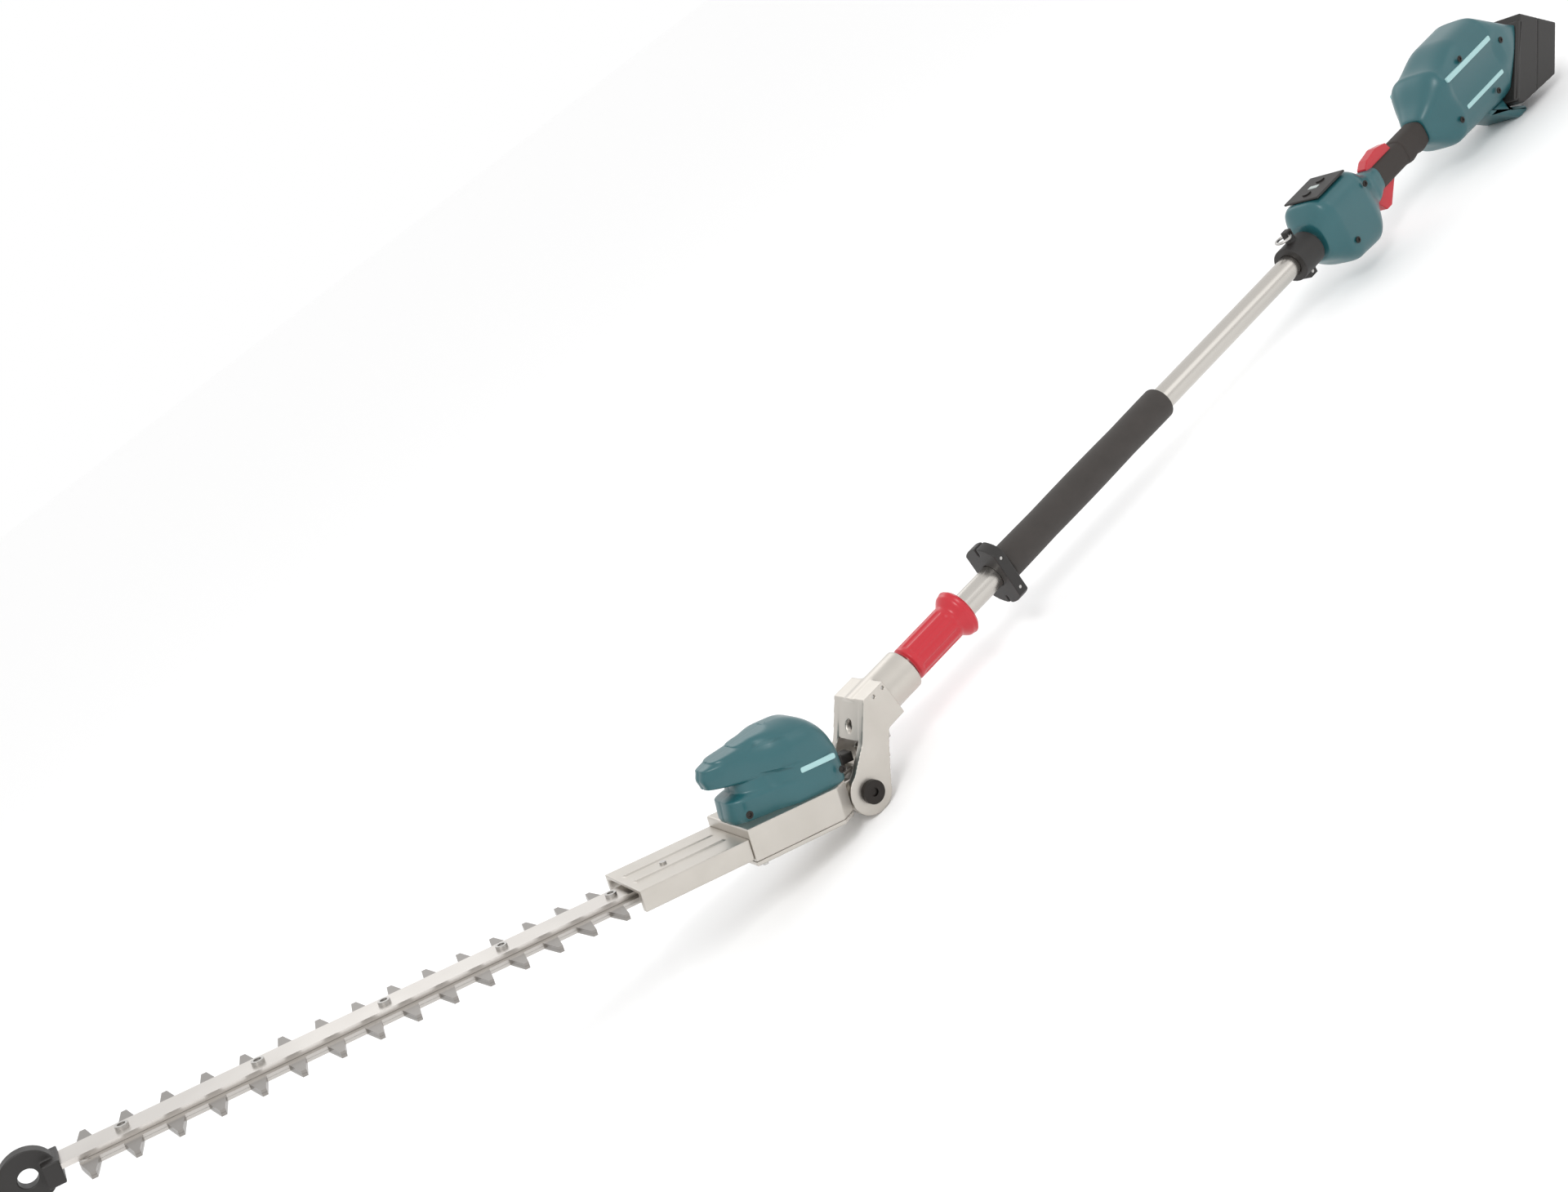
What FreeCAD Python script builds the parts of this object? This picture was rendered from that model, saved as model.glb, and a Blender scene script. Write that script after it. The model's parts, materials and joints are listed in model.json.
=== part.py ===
"""Cordless pole hedge trimmer: a parametric FreeCAD document of separate pieces.

Three local frames carry the pieces.
  pole  X runs from the head to the battery along the pipe axis, Z up, origin above the head pivot
  head  -X runs from the pivot to the blade tip, Z up from the blade plane, origin in the pivot
  pack  X runs up the slanted battery rails, -Z out of them, origin at the rails' lower end
The row frame stands the tool on its pivot knuckle and on the foot of its rear housing, with the
origin below the middle of its length.
"""
import FreeCAD, Part
import Sketcher
import math
import os
import re
from FreeCAD import Placement, Rotation, Vector

doc = FreeCAD.newDocument("PoleHedgeTrimmer")
sheet = doc.addObject("Spreadsheet::Sheet", "Sizes")

SIZES = {
    # where the frames stand
    "head_tilt": 21.6,         # blade raised above the line of the pipe, degrees
    "pivot_drop": 48,          # pivot below the pipe axis
    "rest_height": 22,         # pivot above the ground: the radius of the knuckle's round end
    "pack_along": 1118,        # lower end of the battery rails, from the pivot
    "pack_below": 46,          # and below the pipe axis
    "pack_slope": 50,          # rise of the battery rails, degrees
    # clearances
    "run_gap": 0.04,           # radial, shafts and pins
    "slide_gap": 0.15,         # sliding faces
    "move_gap": 0.5,           # moving pieces in their openings
    # pipe and what it carries
    "pipe_radius": 12.5,
    "pipe_wall": 1.5,
    "pipe_front": 50,
    "pipe_rear": 868,
    "cable_radius": 4,
    "grip_front": 252,
    "grip_length": 256,
    "grip_wall": 5,
    "stop_place": 238,
    "stop_length": 12,
    "stop_radius": 33,
    "stop_width": 46,
    "sleeve_front": 111,
    "sleeve_length": 78,
    "sleeve_radius": 18,
    "sleeve_lip_radius": 25,
    "sleeve_lip_length": 14,
    "sleeve_travel": 10,
    "clamp_front": 744,
    "clamp_length": 34,
    "clamp_radius": 20,
    "eye_height": 27,
    "eye_wire": 1.6,
    "eye_radius": 8,
    # knuckle on the front end of the pipe
    "fork_gap": 18,            # half the space between its cheeks
    "cheek": 8,
    "socket_front": 44,
    "socket_block": 28,
    "socket_rear": 108,
    "socket_radius": 21,
    "bolt_radius": 5,
    "lock_rod_radius": 2,
    "lock_rod_below": 15.5,
    "lock_pin_radius": 3,
    "lock_pin_above": 14,
    "bridge_front": 29,
    "bridge_length": 10,
    # head casting, gears and crank
    "lug_radius": 20,
    "lug_half": 17.7,
    "disc_radius": 21.5,
    "disc_half": 4,
    "notch_radius": 2.6,
    "tilt_low": -70,
    "tilt_step": 11.5,
    "bush_wall": 1.5,
    "case_rear": 24,
    "case_front": 132,
    "case_half": 40,
    "case_wall": 4,
    "case_low": -8,
    "case_top": 22,
    "cover_plate": 4,
    "module": 1,
    "pinion_teeth": 12,
    "gear_teeth": 54,
    "mesh_gap": 0.15,
    "gear_low": 8,
    "gear_width": 6,
    "motor_place": 58,
    "crank_throw": 7.5,
    "eccentric_radius": 14,
    "crank_shaft_radius": 5,
    "bearing_radius": 9.5,
    "bearing_width": 5,
    "motor_radius": 23,
    "rotor_radius": 13,
    "air_gap": 0.6,
    "motor_shaft_radius": 2.5,
    "motor_bearing_radius": 8,
    # blades
    "blade": 2.5,
    "blade_gap": 0.15,
    "blade_half": 20,
    "tooth_reach": 44,
    "tooth_pitch": 30,
    "tooth_count": 15,
    "tooth_root": 7,
    "tooth_tip": 2,
    "last_tooth": 676,
    "yoke_half": 30,
    "yoke_wall": 8,
    "throw_gap": 1.7,          # room for the crank's swing beside the blade's even stroke
    "guide_rear": 108,
    "guide_front": 700,
    "guide_half": 14,
    "guide_bar": 4,
    "blade_bolt_radius": 3,
    "blade_bolt_count": 6,
    "blade_bolt_first": 150,
    "blade_bolt_pitch": 100,
    "blade_bolt_head": 5,
    "blade_nut": 3,
    "guard_front": 238,
    "guard_half": 38,
    "guard_wall": 3,
    "guard_top": 13,
    "guard_low": -6,
    "ring_place": 716,
    "ring_above": 4,
    "ring_radius": 20,
    "ring_hole": 7,
    "ring_half": 6,
    "ring_root": 694,
    # head cover
    "shell": 3,                # wall of every moulded housing
    "cover_half": 36,
    "cover_rear": 18,
    "cover_shoulder": 40,
    "cover_rise": 35,
    "cover_top": 92,
    "cover_dome": 44,
    "cover_front": 118,
    "nose_front": 140,
    "nose_top": 84,
    "nose_low": 57,
    "column_front": 134,
    "column_top": 45,
    # rear housing
    "flare_front": 784,
    "flare_rear": 886,
    "flare_half": 34,
    "flare_top": 42,
    "flare_low": 48,
    "handle_half": 13,
    "handle_top": 15,
    "handle_low": 15,
    "rear_front": 1000,
    "rear_half": 38,
    "rear_top": 66,
    "rear_low": 38,
    "pack_length": 99,
    "pack_depth": 64,
    "pack_half": 37.5,
    "pack_wall": 2.5,
    "rail_depth": 8,
    "foot_half": 24,
    "panel_half": 23,
    "panel_thickness": 2.5,
    "button_radius": 4.5,
    "button_rise": 1.5,
    "button_travel": 1.2,
    "trigger_half": 7,
    "trigger_pivot": 934,
    "trigger_front": 890,
    "trigger_drop": 20,        # below the handle
    "lever_half": 6,
    "lever_pivot": 944,
    "lever_front": 897,
    "lever_top": 12,           # above the handle
    "hub_radius": 4,
    "hub_pin_radius": 1.75,
    "screw_radius": 3.5,
}

for row, (alias, size) in enumerate(SIZES.items(), start=1):
    sheet.set(f"A{row}", alias.replace("_", " "))
    sheet.set(f"B{row}", str(size))
    sheet.setAlias(f"B{row}", alias)
doc.recompute()


# ---------------------------------------------------------------- small helpers

def bound(text):
    """An expression with each size named in it looked up in the sheet."""
    return re.sub(r"[a-z]+(?:_[a-z]+)*", lambda word: "Sizes." + word[0] if word[0] in SIZES else word[0], text)


def number(text):
    """The value of an expression now."""
    return float(sheet.evalExpression(bound(text)))


def bind(thing, **properties):
    """Bind properties to expressions."""
    for name, text in properties.items():
        thing.setExpression(name, bound(text))
    return thing


def place(thing, spot, axis=None, angle=None):
    """Put a thing at a spot of three expressions, turned about an axis by an angle."""
    if axis:
        thing.Placement = Placement(Vector(), Rotation(axis, 90))
        thing.setExpression("Placement.Rotation.Angle", bound(angle))
    for letter, text in zip("xyz", spot):
        thing.setExpression("Placement.Base." + letter, bound(text))
    return thing


def box(low, size):
    """A box from its low corner and its three lengths."""
    made = bind(doc.addObject("Part::Box", "Box"), Length=size[0], Width=size[1], Height=size[2])
    return place(made, low)


def slab(x_low, x_high, half, z_low, z_high):
    """A box across the middle plane, half as wide on each side."""
    size = (f"({x_high}) - ({x_low})", f"2 * ({half})", f"({z_high}) - ({z_low})")
    return box((x_low, f"-({half})", z_low), size)


TURNS = {"x": (Vector(0, 1, 0), "90"), "y": (Vector(1, 0, 0), "-90"), "z": (None, None)}


def rod(axis, spot, radius, length):
    """A round rod from its start along +X, +Y or +Z."""
    made = bind(doc.addObject("Part::Cylinder", "Rod"), Radius=radius, Height=length)
    return place(made, spot, *TURNS[axis])


def cross_rod(x, z, radius, half):
    """A rod along Y, half as long on each side of the middle plane."""
    return rod("y", (x, f"-({half})", z), radius, f"2 * ({half})")


def fused(*things):
    if len(things) == 1:
        return things[0]
    made = doc.addObject("Part::MultiFuse", "Fused")
    made.Shapes = things
    made.Refine = True
    return made


def cut(base, *tools):
    made = doc.addObject("Part::Cut", "Cut")
    made.Base = base
    made.Tool = fused(*tools)
    made.Refine = True
    return made


def grouped(*things):
    """Separate solids that share one node."""
    made = doc.addObject("Part::Compound", "Group")
    made.Links = things
    return made


def mirrored(thing):
    """The same piece on the other side of the middle plane."""
    made = doc.addObject("Part::Mirroring", "Mirrored")
    made.Source = thing
    made.Normal = (0, 1, 0)
    return made


def ring(axis, spot, outer, inner, length):
    return cut(rod(axis, spot, outer, length), rod(axis, spot, inner, length))


def sketch_on(body, role, corners):
    """A closed outline on an origin plane of the body.

    A corner is (across, up) or (across, up, radius, way): the last pair bends the edge that
    leaves it into an arc, to the left of the way it goes with way 1 and to the right with -1.
    """
    sketch = body.newObject("Sketcher::SketchObject", "Outline")
    plane = next(item for item in body.Origin.OriginFeatures if item.Role == role)
    sketch.AttachmentSupport = [(plane, "")]
    sketch.MapMode = "FlatFace"
    spots = [Vector(number(corner[0]), number(corner[1]), 0) for corner in corners]
    for index, corner in enumerate(corners):
        start = spots[index]
        end = spots[(index + 1) % len(spots)]
        if len(corner) == 2:
            sketch.addGeometry(Part.LineSegment(start, end))
            continue
        radius, way = number(corner[2]), corner[3]
        chord = end.sub(start)
        side = Vector(-chord.y, chord.x, 0).normalize() * way
        rise = radius - math.sqrt(max(radius ** 2 - chord.Length ** 2 / 4, 0))
        ends = (end, start) if way > 0 else (start, end)
        sketch.addGeometry(Part.Arc(ends[0], start + chord * 0.5 + side * rise, ends[1]))
    begins = []
    for curve, spot in zip(sketch.Geometry, spots):
        gaps = [curve.StartPoint.distanceToPoint(spot), curve.EndPoint.distanceToPoint(spot)]
        begins.append(1 + gaps.index(min(gaps)))
    for index, corner in enumerate(corners):
        after = (index + 1) % len(corners)
        begin = begins[index]
        sketch.addConstraint(Sketcher.Constraint("Coincident", index, 3 - begin, after, begins[after]))
        for kind, text, value in (("DistanceX", corner[0], spots[index].x), ("DistanceY", corner[1], spots[index].y)):
            held = sketch.addConstraint(Sketcher.Constraint(kind, -1, 1, index, begin, value))
            sketch.setExpression(f"Constraints[{held}]", bound(text))
        if len(corner) > 2:
            held = sketch.addConstraint(Sketcher.Constraint("Radius", index, number(corner[2])))
            sketch.setExpression(f"Constraints[{held}]", bound(corner[2]))
    return sketch


def padded(body, role, corners, length, flip=False):
    pad = body.newObject("PartDesign::Pad", "Pad")
    pad.Profile = sketch_on(body, role, corners)
    pad.Reversed = flip
    return bind(pad, Length=length)


def pocketed(body, role, corners, length, flip=False):
    pocket = body.newObject("PartDesign::Pocket", "Pocket")
    pocket.Profile = sketch_on(body, role, corners)
    pocket.Reversed = flip
    return bind(pocket, Length=length)


def rounded(body, radius, chosen):
    """A fillet on the edges that a test picks."""
    doc.recompute()
    tip = body.Tip
    names = [f"Edge{i}" for i, edge in enumerate(tip.Shape.Edges, start=1) if chosen(edge)]
    fillet = body.newObject("PartDesign::Fillet", "Fillet")
    fillet.Base = (tip, names)
    return bind(fillet, Radius=radius)


def new_body():
    return doc.addObject("PartDesign::Body", "Body")


def prism(role, corners, length, flip=False):
    """A body padded from one outline."""
    body = new_body()
    padded(body, role, corners, length, flip)
    return body


def turned(corners, x):
    """An outline in the middle plane, turned about the X axis and moved along it."""
    body = new_body()
    turn = body.newObject("PartDesign::Revolution", "Turned")
    turn.Profile = sketch_on(body, "XZ_Plane", corners)
    turn.ReferenceAxis = (turn.Profile[0], ["H_Axis"])
    turn.Angle = 360
    return place(body, (x, "0", "0"))


def wedge(corners, half):
    """An outline in the middle plane, padded to both sides."""
    body = prism("XZ_Plane", corners, f"2 * ({half})", True)
    return place(body, ("0", f"-({half})", "0"))


# ---------------------------------------------------------------- frames and nodes

TIP_REACH = "ring_place * cos(head_tilt) - ring_above * sin(head_tilt) + ring_radius"
REAR_REACH = "pack_along + pack_length * cos(pack_slope) + pack_depth * sin(pack_slope)"
PIVOT_X = f"({TIP_REACH} - ({REAR_REACH})) / 2"
POLE_Z = "rest_height + pivot_drop"
Y_AXIS = Vector(0, 1, 0)
FRAMES = {
    "pole": (PIVOT_X, POLE_Z, "0"),
    "head": (PIVOT_X, "rest_height", "head_tilt"),
    "pack": (f"{PIVOT_X} + pack_along", f"{POLE_Z} - pack_below", "-pack_slope"),
}
nodes = []


def node(label, thing, frame):
    """Name a finished piece and stand it in its frame.

    A group takes the piece, so that the piece's own place in its frame stays as it is.
    """
    x, z, angle = FRAMES[frame]
    stood = grouped(*thing) if isinstance(thing, (list, tuple)) else grouped(thing)
    stood.Label = label
    place(stood, (x, "0", z), Y_AXIS, angle)
    nodes.append(stood)
    return stood


# ---------------------------------------------------------------- pipe, grip, stop and clamp

def pipe_pieces():
    length = "pipe_rear - pipe_front"
    node("main_pipe", ring("x", ("pipe_front", "0", "0"), "pipe_radius", "pipe_radius - pipe_wall", length), "pole")
    node("pipe_cable", rod("x", ("socket_front - 4", "0", "0"), "cable_radius", f"{length} + 16"), "pole")
    outer = "pipe_radius + grip_wall"
    node("pipe_grip", turned([("0", "pipe_radius"), ("grip_length", "pipe_radius"), ("grip_length", outer),
                              ("0", outer)], "grip_front"), "pole")


def hand_stop_pieces():
    """A split collar with an ear above and below the hand."""
    start = ("stop_place", "0", "0")
    ears = fused(cut(rod("x", start, "stop_radius", "stop_length"),
                     box(("stop_place - 1", "stop_width / 2", "-stop_radius - 1"),
                         ("stop_length + 2", "stop_radius", "2 * stop_radius + 2")),
                     box(("stop_place - 1", "-stop_width / 2 - stop_radius", "-stop_radius - 1"),
                         ("stop_length + 2", "stop_radius", "2 * stop_radius + 2"))))
    waist = [cross_rod("stop_place + stop_length / 2", f"{way} * (stop_radius + 2)", "stop_length", "1")
             for way in ("1", "-1")]
    hole = rod("x", ("stop_place - 1", "0", "0"), "pipe_radius", "stop_length + 2")
    screws = [("0", f"{way} * (pipe_radius + 5)") for way in ("1", "-1")]
    holes = [cross_rod("stop_place + stop_length / 2", spot[1], "1.75", "stop_width") for spot in screws]
    node("hand_stop", cut(ears, hole, *waist, *holes), "pole")
    return [cross_rod("stop_place + stop_length / 2", spot[1], "1.75", "stop_width / 2 - 1") for spot in screws]


def hanger_pieces():
    """The clamp on the pipe whose eye takes a shoulder strap or a hook."""
    middle = "clamp_front + clamp_length / 2"
    barrel = rod("x", ("clamp_front", "0", "0"), "clamp_radius", "clamp_length")
    tab = slab(f"{middle} - 4.5", f"{middle} + 4.5", "4", "pipe_radius + 2", "eye_height + eye_wire + 4")
    foot = slab(f"{middle} - 6", f"{middle} + 6", "7", "-clamp_radius - 5", "-pipe_radius - 2")
    bore = rod("x", ("clamp_front - 1", "0", "0"), "pipe_radius", "clamp_length + 2")
    eye = cross_rod(middle, "eye_height", "eye_wire + 1.6", "6")
    screw = cross_rod(middle, "-clamp_radius", "2", "20")
    node("hanger_clamp", cut(fused(barrel, tab, foot), bore, eye, screw), "pole")
    wire = bind(doc.addObject("Part::Torus", "Eye"), Radius1="eye_radius", Radius2="eye_wire")
    node("hanger_ring", place(wire, (f"{middle} - eye_radius", "0", "eye_height")), "pole")
    return [cross_rod(middle, "-clamp_radius", "2", "6.8")]


# ---------------------------------------------------------------- knuckle, pivot and release sleeve

LOCK_PIN_Z = "lock_pin_above - pivot_drop"
LOCK_TIP = "disc_radius + 1"


def knuckle_pieces():
    """The cast fork that holds the pipe's front end and the head's pivot."""
    outline = [("-14", "15 - pivot_drop"), ("20", "39 - pivot_drop"), ("socket_front + 2", "socket_radius - 1"),
               ("socket_front + socket_block", "socket_radius - 1"),
               ("socket_front + socket_block", "-socket_radius + 4"),
               ("socket_front + 6", "-socket_radius + 3"), ("socket_front - 4", "-pivot_drop / 2 - 6"),
               ("20", "-pivot_drop - 9")]
    web = wedge([("22", "39 - pivot_drop"), ("27", "36 - pivot_drop"), ("socket_front + 6", "socket_radius - 5"),
                 ("socket_front + 2", "socket_radius - 1")], "fork_gap + 1")
    plates = cut(fused(wedge(outline, "fork_gap + cheek"),
                       cross_rod("0", "-pivot_drop", "rest_height", "fork_gap + cheek")),
                 slab("-60", "socket_front", "fork_gap", "-2 * pivot_drop", "pivot_drop"),
                 slab("socket_front - 1", "2 * socket_rear", "fork_gap", "-2 * pivot_drop", "-socket_radius"))
    barrel = rod("x", ("socket_front", "0", "0"), "socket_radius", "socket_rear - socket_front")
    bridge = slab("bridge_front", "bridge_front + bridge_length", "fork_gap + 1",
                  f"{LOCK_PIN_Z} - lock_pin_radius - 4", f"{LOCK_PIN_Z} + lock_pin_radius + 4")
    bore = rod("x", ("pipe_front", "0", "0"), "pipe_radius", "2 * socket_rear")
    cable = rod("x", ("0", "0", "0"), "cable_radius + 1", "2 * pipe_front")
    rod_hole = rod("x", ("0", "0", "-lock_rod_below"), "lock_rod_radius + run_gap", "2 * socket_rear")
    pin_hole = rod("x", ("0", "0", LOCK_PIN_Z), "lock_pin_radius + run_gap", "bridge_front + 2 * bridge_length")
    slide_room = slab("socket_front + 4", "socket_front + socket_block + 8", "lock_pin_radius + 1",
                      f"{LOCK_PIN_Z} - lock_pin_radius - 1", "-pipe_radius - 0.6")
    pivot = cross_rod("0", "-pivot_drop", "bolt_radius", "2 * fork_gap")
    clamps = [cross_rod(spot, "pipe_radius + 2.5", "1.75", "2 * fork_gap")
              for spot in ("socket_front + 12", "socket_front + 24")]
    whole = fused(plates, barrel, bridge, web)
    node("knuckle", cut(whole, bore, cable, rod_hole, pin_hole, slide_room, pivot, *clamps), "pole")
    return [cross_rod(spot, "pipe_radius + 2.5", "1.75", "fork_gap + cheek - 2")
            for spot in ("socket_front + 12", "socket_front + 24")]


def pivot_pieces():
    outer = "(fork_gap + cheek)"
    shank = cross_rod("0", "-pivot_drop", "bolt_radius", outer)
    head = rod("y", ("0", outer, "-pivot_drop"), "bolt_radius + 4", "4")
    node("pivot_bolt", fused(shank, head), "pole")
    cap = cut(rod("y", ("0", f"-{outer} - 5", "-pivot_drop"), "bolt_radius + 6", "5"),
              rod("y", ("0", f"-{outer} - 6", "-pivot_drop"), "bolt_radius - 1", "3"))
    node("pivot_cap", cap, "pole")


def sleeve_pieces():
    """The red sleeve, pulled back along the pipe to draw the lock out of the index disc."""
    bore = "pipe_radius + slide_gap"
    length = "sleeve_length"
    body = turned([
        ("0", bore), (length, bore), (length, "sleeve_lip_radius"),
        (f"{length} - sleeve_lip_length / 2", "sleeve_lip_radius"),
        (f"{length} - sleeve_lip_length", "sleeve_radius"), ("0", "sleeve_radius")], "sleeve_front")
    seat = rod("x", ("0", "0", "-lock_rod_below"), "lock_rod_radius", "sleeve_front + 10")
    pocket = ring("x", (f"sleeve_front + {length} - 50", "0", "0"), "sleeve_radius - 1.8", "pipe_radius", "60")
    node("release_sleeve", cut(body, seat, pocket), "pole")
    web_front = "socket_front + 8"
    top = rod("x", (web_front, "0", "-lock_rod_below"), "lock_rod_radius", f"sleeve_front + 10 - ({web_front})")
    low = rod("x", (LOCK_TIP, "0", LOCK_PIN_Z), "lock_pin_radius", f"{web_front} + 4 - ({LOCK_TIP})")
    web = slab(web_front, f"{web_front} + 5", "lock_rod_radius", LOCK_PIN_Z, "-lock_rod_below")
    node("lock_slide", fused(top, low, web), "pole")
    coil = ring("x", (f"sleeve_front + {length} - 49.8", "0", "0"), "sleeve_radius - 2.2",
                "sleeve_radius - 4", "43.6")
    node("sleeve_spring", coil, "pole")
    seat_ring = ring("x", (f"sleeve_front + {length} - 6", "0", "0"), "sleeve_radius - 2", "pipe_radius", "6")
    node("sleeve_collar", seat_ring, "pole")


# ---------------------------------------------------------------- head casting and index disc

CRANK_PLACE = "(motor_place + module * (pinion_teeth + gear_teeth) / 2 + mesh_gap)"
GUIDE_LOW = "(blade + blade_gap)"
GUIDE_TOP = f"({GUIDE_LOW} + guide_bar)"


def case_slab(inset, height, level):
    """The gear case's plan, narrower at its rear corners, drawn in by a wall."""
    front, rear, half = f"-case_front + {inset}", f"-case_rear - {inset}", f"case_half - {inset}"
    plan = [(front, f"-({half})"), (f"{rear} - 16", f"-({half})"), (rear, f"-({half}) + 12"),
            (rear, f"{half} - 12"), (f"{rear} - 16", half), (front, half)]
    return place(prism("XY_Plane", plan, height), ("0", "0", level))


def case_pieces():
    block = case_slab("0", "case_top - case_low", "case_low")
    hollow = case_slab("case_wall", "case_top - case_wall - case_low + 1", "case_low - 1")
    mouth = slab("-case_front - 1", "-case_front + case_wall + 1", "blade_half + 11", "case_low - 1",
                 f"{GUIDE_TOP} + blade_nut")
    lug = fused(cross_rod("0", "0", "lug_radius", "lug_half"),
                slab("-case_rear - 1", "0", "lug_half", "case_low - 4", "case_top - 6"))
    seat = cross_rod("0", "0", "disc_radius + 0.3", "disc_half")
    pivot = cross_rod("0", "0", "bolt_radius + bush_wall", "2 * lug_half")
    boss = rod("z", (f"-{CRANK_PLACE}", "0", "case_top - 7"), "bearing_radius + 3", "5")
    bearing = rod("z", (f"-{CRANK_PLACE}", "0", "case_top - 8"), "bearing_radius", "1 + bearing_width")
    pinion = rod("z", ("-motor_place", "0", "case_low"), "motor_bearing_radius", "2 * case_top")
    raw = cut(block, hollow, mouth)
    node("gear_case", cut(fused(raw, lug, boss), seat, pivot, bearing, pinion), "head")
    plate = case_slab("0", "cover_plate", "case_low - cover_plate")
    low_boss = rod("z", (f"-{CRANK_PLACE}", "0", "case_low - 1"), "bearing_radius + 3", "5")
    low_bearing = rod("z", (f"-{CRANK_PLACE}", "0", "case_low - 1"), "bearing_radius", "2 * bearing_width")
    relief = slab("-case_rear - 3", "-case_rear + 9", "lug_half + 0.2", "case_low - 5", "case_low")
    node("gear_case_cover", cut(fused(plate, low_boss), low_bearing, relief), "head")
    spots = [(x, y) for x in ("-case_front + 9", f"-{CRANK_PLACE} + 8", "-case_rear - 10")
             for y in ("-1", "1")]
    inset = {"-case_front + 9": "2.2", f"-{CRANK_PLACE} + 8": "7", "-case_rear - 10": "13"}
    screws = [rod("z", (x, f"{y} * (case_half - {inset[x]} - 2)", "case_low - cover_plate - 2"), "2.6", "2")
              for x, y in spots]
    return screws


def index_pieces():
    disc = cross_rod("0", "0", "disc_radius", "disc_half")
    bore = cross_rod("0", "0", "bolt_radius + bush_wall", "2 * disc_half")
    notches = []
    steps = 11
    reach = math.degrees(math.asin(number("lock_pin_above / disc_radius")))
    for step in range(steps):
        angle = f"({reach} + tilt_low + {step} * tilt_step)"
        notches.append(cross_rod(f"(disc_radius + 1) * cos{angle}", f"(disc_radius + 1) * sin{angle}",
                                 "notch_radius", "2 * disc_half"))
    node("index_disc", cut(disc, bore, *notches), "head")
    outer = "bolt_radius + bush_wall"
    bushes = [ring("y", ("0", start, "0"), outer, "bolt_radius + run_gap", "lug_half")
              for start in ("-lug_half", "0")]
    node("pivot_bushes", fused(*bushes), "head")


# ---------------------------------------------------------------- gears, crank and motor

def gear_outline(teeth, turned):
    """Involute outline, 25 degree pressure angle, with straight runs along each flank.

    The flank leaves the base circle as an unwinding string; below the base circle it runs
    straight to the root.  A tooth is centred at the angle turned.
    """
    module = number("module")
    pitch = module * teeth / 2
    pressure = math.radians(25)
    base, root, top = pitch * math.cos(pressure), pitch - 1.25 * module, pitch + module

    def roll(radius):
        """The polar angle of the involute at a radius."""
        if radius <= base:
            return 0.0
        angle = math.acos(base / radius)
        return math.tan(angle) - angle

    half = math.pi / (2 * teeth) + math.tan(pressure) - pressure
    low = max(base, root)
    radii = [low + (top - low) * step / 3 for step in range(4)]
    flank = [(root, half - roll(root))] if root < base else []
    flank += [(radius, half - roll(radius)) for radius in radii]
    spots = []
    for tooth in range(teeth):
        middle = turned + 2 * math.pi * tooth / teeth
        edge = [(radius, middle - angle) for radius, angle in flank]
        edge += [(radius, middle + angle) for radius, angle in reversed(flank)]
        spots += [Vector(radius * math.cos(angle), radius * math.sin(angle), 0) for radius, angle in edge]
    return Part.makePolygon(spots + spots[:1])


def gear(teeth, turned, width):
    """A spur gear, read from the sheet because its flanks are worked out point by point."""
    solid = Part.Face(gear_outline(teeth, turned)).extrude(Vector(0, 0, number(width)))
    made = doc.addObject("Part::Feature", "Gear")
    made.Shape = solid
    return made


def crank_pieces():
    spot = f"-{CRANK_PLACE}"
    wheel = place(gear(int(SIZES["gear_teeth"]), math.pi / SIZES["gear_teeth"], "gear_width"),
                  (spot, "0", "gear_low"))
    bore = rod("z", (spot, "0", "0"), "crank_shaft_radius", "2 * case_top")
    node("crank_gear", cut(wheel, bore), "head")
    low = "case_low - 1"
    shaft = rod("z", (spot, "0", low), "crank_shaft_radius", f"case_top - 2 - ({low})")
    discs = [rod("z", (spot, f"{way} * crank_throw", level), "eccentric_radius", "blade")
             for way, level in (("1", "0"), ("-1", "-blade - blade_gap"))]
    node("crankshaft", fused(shaft, *discs), "head")
    rings = [ring("z", (spot, "0", level), "bearing_radius", "crank_shaft_radius + run_gap", "bearing_width")
             for level in ("case_low - 1", "case_top - 7")]
    node("crank_bearings", rings, "head")


MOTOR_LOW = "(case_top + 12)"
MOTOR_TOP = "(case_top + 32.2)"


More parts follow.
